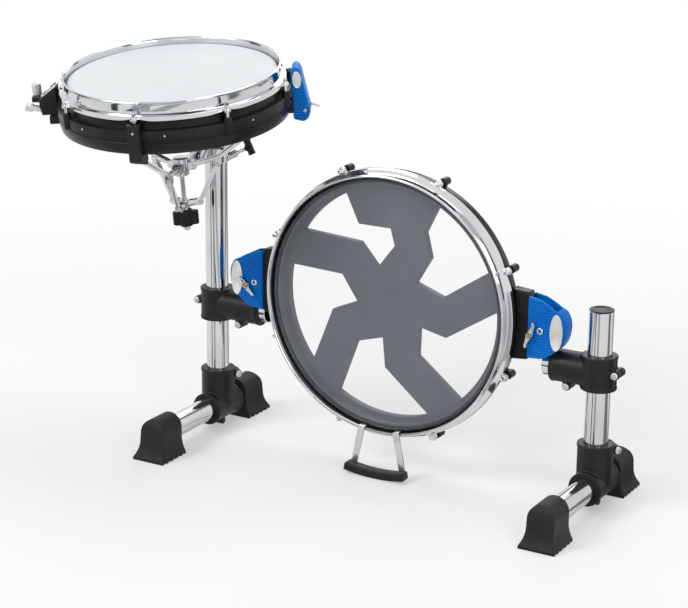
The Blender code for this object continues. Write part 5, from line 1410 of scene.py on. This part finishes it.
def filleted(points, radius, steps=4):
    """Round the corners of an outline."""
    result = []
    for index, point in enumerate(points):
        corner = Vector(point)
        before = Vector(points[index - 1]) - corner
        after = Vector(points[(index + 1) % len(points)]) - corner
        cut = min(radius, before.length * 0.45, after.length * 0.45)
        start = corner + before.normalized() * cut
        end = corner + after.normalized() * cut
        for step in range(steps + 1):
            share = step / steps
            middle = corner * 2 * share * (1 - share)
            result.append(tuple(start * (1 - share) ** 2 + middle + end * share ** 2))
    return result


SNARE_BLOCK = [(0.1880, 0.0090), (0.1920, 0.0040), (0.1980, 0.0042), (0.2030, 0.0110),
               (0.2070, 0.0343), (0.2125, 0.0652), (0.2150, 0.0772), (0.2110, 0.0877),
               (0.2035, 0.0930), (0.1875, 0.0885), (0.1870, 0.0815), (0.1885, 0.0725),
               (0.1870, 0.0413), (0.1865, 0.0258)]
BLOCK_HALF = 0.018
BLOCK_MIDDLE = (0.1995, 0.048)
TONGUE_TIP = SNARE_R + 0.0318
SNARE_SCREW = (0.2060, -0.0740)

block = eased(radial(filleted(SNARE_BLOCK, 0.0035), BLOCK_HALF), 0.0016, 3, 60.0)
pocket = [(0.150, 0.0662), (TONGUE_TIP, 0.0662), (TONGUE_TIP, 0.0803), (0.150, 0.0803)]
block = carve(block, radial(pocket, 0.0133))
saw_cut = [(0.150, 0.0600), (0.250, 0.0600), (0.250, 0.110), (0.150, 0.110)]
block = carve(block, radial(saw_cut, SAW_HALF))
screw_x, screw_z = SNARE_SCREW
screw_hole = rod(SCREW_BORE, (screw_x, -0.05, screw_z), (screw_x, 0.05, screw_z), steps=24)
block = moved(carve(block, moved(screw_hole, turn_about("Z", BRACKET_TURN))), SNARE)
piece("blue_snare_bracket", block, "snare_drum", BLUE, ("snare_bracket",))

at_bracket = SNARE @ turn_about("Z", BRACKET_TURN)
plate = moved(oval_plate(0.0070, 0.0135, 0.0013),
              at_bracket @ Matrix.Translation((0.1966, -0.0188, -0.0235)) @ QUARTER_X)
piece("oval_plate_snare", plate, "snare_drum", PLATE_SILVER)
mid_reach, mid_depth = BLOCK_MIDDLE
inset = [(mid_reach + (reach - mid_reach) * 0.90, -mid_depth - (depth - mid_depth) * 0.95)
         for reach, depth in SNARE_BLOCK]
ribs = rib_slices(inset, 0.0178, 0.0191, -0.0880, -0.0080)
ribs = moved(joined(ribs), at_bracket @ QUARTER_X)
piece("blue_snare_ribs", ribs, "snare_drum", BLUE)

body = "snare_wing_lever"
seat = Matrix.Translation((screw_x, BLOCK_HALF, screw_z))
at = at_bracket @ seat @ turn_about("X", -90.0) @ turn_about("Z", 10.0)
piece("chrome_wing_snare", moved(wing_screw(0.039), at), body, CHROME, (body,))
piece("brass_screw_end_snare", moved(brass_end(), at), body, BRASS)

# %% [markdown]
# ## The strainer
#
# The strainer tightens and drops the wires. Its housing sits opposite the bracket, with an oval
# chrome frame on its sloping top, a throw lever below and a knurled knob on a shelf. Knurling
# could be a bump, but the knob stands out against the white, so its outline is fluted.

# %% Housing, frame, lever and knob
RING_R = 0.0155
RING_HALF_W = 0.0190
RING_HALF_H = 0.0120
FLUTES = 30
FLUTE_DEPTH = 0.00035

soft_node("strainer_body", "snare_drum", BLACK, 0.0014, 3)
at_strainer = SNARE @ turn_about("Z", STRAINER_TURN)
ring = spun([(0.0131, -0.0013), (RING_R, -0.0013), (RING_R, 0.0004), (0.0150, 0.0012),
             (0.0138, 0.0012), (0.0131, 0.0006)], 64)
ring = moved(ring, Matrix.Diagonal((RING_HALF_W / RING_R, RING_HALF_H / RING_R, 1.0, 1.0)))
slope = at_strainer @ Matrix.Translation((0.1965, 0.0, -0.0255)) @ turn_about("Y", 37.0)
ring = moved(ring, slope)
piece("strainer_oval_frame", ring, "snare_drum", CHROME, ("strainer_trim",))
soft_node("strainer_lever", "strainer_lever", PLATE_SILVER, 0.0010, 3)

knurl = [polar(0.0075 - FLUTE_DEPTH * (index % 2), index * 180.0 / FLUTES)
         for index in range(2 * FLUTES)]
grip = eased(drawn(knurl, -0.0417, -0.0237), 0.0003, 1, 80.0)
disc = spun(rounded(0.0066, 0.0010, 0.0004, -0.0238), 48)
shaft = spun([(0, -0.0543), (0.0040, -0.0543), (0.0042, -0.0539), (0.0042, -0.0505),
              (0.0025, -0.0503), (0.0025, -0.0416), (0, -0.0416)], 36)
knob = moved(joined([grip, disc, shaft]), at_strainer @ Matrix.Translation((0.2222, -0.0252, 0.0)))
body = "strainer_knob"
piece("strainer_knurled_knob", knob, body, PLATE_SILVER, (body,))

# %% [markdown]
# ## The floor
#
# The photograph has a white sweep. So the floor is a nearly white material that keeps the
# shadows near the feet, and fades into plain white further out, for the camera and for anything
# that mirrors the floor or lets it through.

# %% White floor that keeps the shadows
def rays_that_see(nodes):
    """Fields that are 1 for camera, glossy and transmission rays."""
    path = nodes.node("ShaderNodeLightPath")
    return [Field(nodes, path.outputs["Is %s Ray" % kind])
            for kind in ("Camera", "Glossy", "Transmission")]


def staged(name, data, hidden_from=()):
    item = bpy.data.objects.new(name, data)
    for kind in hidden_from:
        setattr(item, "visible_" + kind, False)
    bpy.context.scene.collection.objects.link(item)
    return item


FADE_START, FADE_END = 0.75, 1.9
NEAR_GLOW = 0.35
WHITE = (1.0, 1.0, 1.0, 1.0)

paper = Finish("pale_floor", Specular_IOR_Level=0.0)
paper_grain = paper.noise(220.0, 2.0)
paper_colour = paper.blend(paper.noise(1.5, 2.0), grey(0.88, -0.005), grey(0.90))
paper.paint(paper_colour, 0.55 + paper_grain * 0.1, paper_grain, 0.0002, 0.05)
middle = paper.node("ShaderNodeVectorMath", {"operation": "LENGTH"}, {0: paper.place})
away = paper.between(Field(paper, middle.outputs["Value"]), FADE_START, FADE_END)
camera_ray, glossy_ray, passing_ray = rays_that_see(paper)
glow = (camera_ray + glossy_ray + passing_ray) * (NEAR_GLOW + away * (1.0 - NEAR_GLOW))
white = paper.node("ShaderNodeEmission", None, {"Color": WHITE, "Strength": 1.0})
paper.show(paper.node("ShaderNodeMixShader", None,
                      {0: glow, 1: paper.shader.outputs[0], 2: white.outputs[0]}))

floor_mesh = bmesh.new()
bmesh.ops.create_grid(floor_mesh, x_segments=8, y_segments=8, size=6.0)
floor_data = bpy.data.meshes.new("floor")
floor_mesh.to_mesh(floor_data)
floor_mesh.free()
floor_data.materials.append(paper.material)
floor = staged("floor", floor_data)
print("floor: %.0f m wide" % floor.dimensions.x)

# %% [markdown]
# ## World and lamps
#
# The light is even, with one soft key from the left. A single small lamp would draw hard edges,
# so four large area lamps give the level.

# %% World and four soft lamps
SKY_LEVEL = 0.42

world = bpy.data.worlds.new("studio")
bpy.context.scene.world = world
world.use_nodes = True
sky_nodes = Nodes(world.node_tree)
sky = world.node_tree.nodes["Background"]
sky.inputs["Color"].default_value = WHITE
camera_ray, glossy_ray, passing_ray = rays_that_see(sky_nodes)
seen = camera_ray.larger(passing_ray).larger(glossy_ray)
sky_nodes.feed(sky.inputs["Strength"], sky_nodes.between(seen, 0.0, 1.0, SKY_LEVEL, 1.0))


def soft_lamp(name, place, target, size, watts):
    """A rectangular area lamp that looks at a target."""
    lamp = bpy.data.lights.new(name, "AREA")
    lamp.shape = "RECTANGLE"
    lamp.size, lamp.size_y = size
    lamp.energy = watts
    item = bpy.data.objects.new(name, lamp)
    aim = (Vector(target) - Vector(place)).to_track_quat("-Z", "Y")
    item.matrix_world = Matrix.Translation(place) @ aim.to_matrix().to_4x4()
    bpy.context.scene.collection.objects.link(item)


soft_lamp("key", (-1.6, -2.2, 2.6), (0, 0, 0.3), (1.6, 1.2), 52.0)
soft_lamp("fill", (2.4, -1.6, 1.6), (0, 0, 0.3), (1.6, 1.6), 20.0)
soft_lamp("top", (0.2, 0.6, 2.8), (0, 0, 0.2), (2.4, 1.6), 26.0)
soft_lamp("back", (-0.8, 2.6, 1.8), (0, 0, 0.4), (1.6, 1.2), 14.0)

# %% [markdown]
# ## Cards for the plating
#
# Plating in an all white room looks like paper, because there is nothing for it to mirror. Dark
# patches could be painted into the chrome, but they would not slide along it as reflections do.
# Only mirrored rays meet them, and they draw the dark streaks along the tubes and rims.

# %% Cards that only mirrored rays meet
FAN_NEAR, FAN_FAR = 0.06, 2.6
FAN_HEIGHT = 0.002
CARD_DISTANCE = 2.3


def card(name, corners, level):
    """A four cornered board of one grey level."""
    board = bmesh.new()
    board.faces.new([board.verts.new(corner) for corner in corners])
    data = bpy.data.meshes.new(name)
    board.to_mesh(data)
    board.free()
    finish = Finish(name)
    finish.show(finish.node("ShaderNodeEmission", None, {"Color": grey(level), "Strength": 1.0}))
    data.materials.append(finish.material)
    staged(name, data, ("camera", "diffuse", "transmission", "volume_scatter", "shadow"))


def around(centre, distance, azimuth, height):
    """A point at an azimuth from the player's side, in degrees towards the right."""
    turn = math.radians(azimuth)
    return (centre[0] + distance * math.sin(turn), centre[1] - distance * math.cos(turn), height)


def floor_card(name, centre, azimuth, half, level):
    """A strip that fans out over the floor from the foot of a post."""
    spots = ((FAN_NEAR, -half), (FAN_NEAR, half), (FAN_FAR, half), (FAN_FAR, -half))
    card(name, [around(centre, distance, azimuth + turn, FAN_HEIGHT) for distance, turn in spots],
         level)


def standing_card(name, azimuth, half, low, high, level):
    spots = ((-half, low), (half, low), (half, high), (-half, high))
    card(name, [around((0.0, 0.0), CARD_DISTANCE, azimuth + turn, height)
                for turn, height in spots], level)


for name, side in SIDES.items():
    foot = (side * POST_X, POST_Y)
    floor_card("card_dark_" + name, foot, -26.0, 4.0, 0.07)
    floor_card("card_grey_" + name, foot, 2.0, 9.0, 0.50)
    floor_card("card_side_" + name, foot, 98.0, 7.0, 0.25)
    floor_card("card_rear_" + name, foot, 160.0, 12.0, 0.35)
standing_card("card_behind_left", -152.0, 9.0, 0.55, 1.15, 0.04)
standing_card("card_behind", 170.0, 7.0, 0.75, 1.9, 0.18)
standing_card("card_left", -75.0, 8.0, 0.3, 2.4, 0.12)
standing_card("card_right", 80.0, 6.0, 0.3, 2.4, 0.12)
card("card_overhead", [(-0.9, -1.3, 2.4), (0.9, -1.3, 2.4), (0.9, -0.5, 2.4), (-0.9, -0.5, 2.4)],
     0.08)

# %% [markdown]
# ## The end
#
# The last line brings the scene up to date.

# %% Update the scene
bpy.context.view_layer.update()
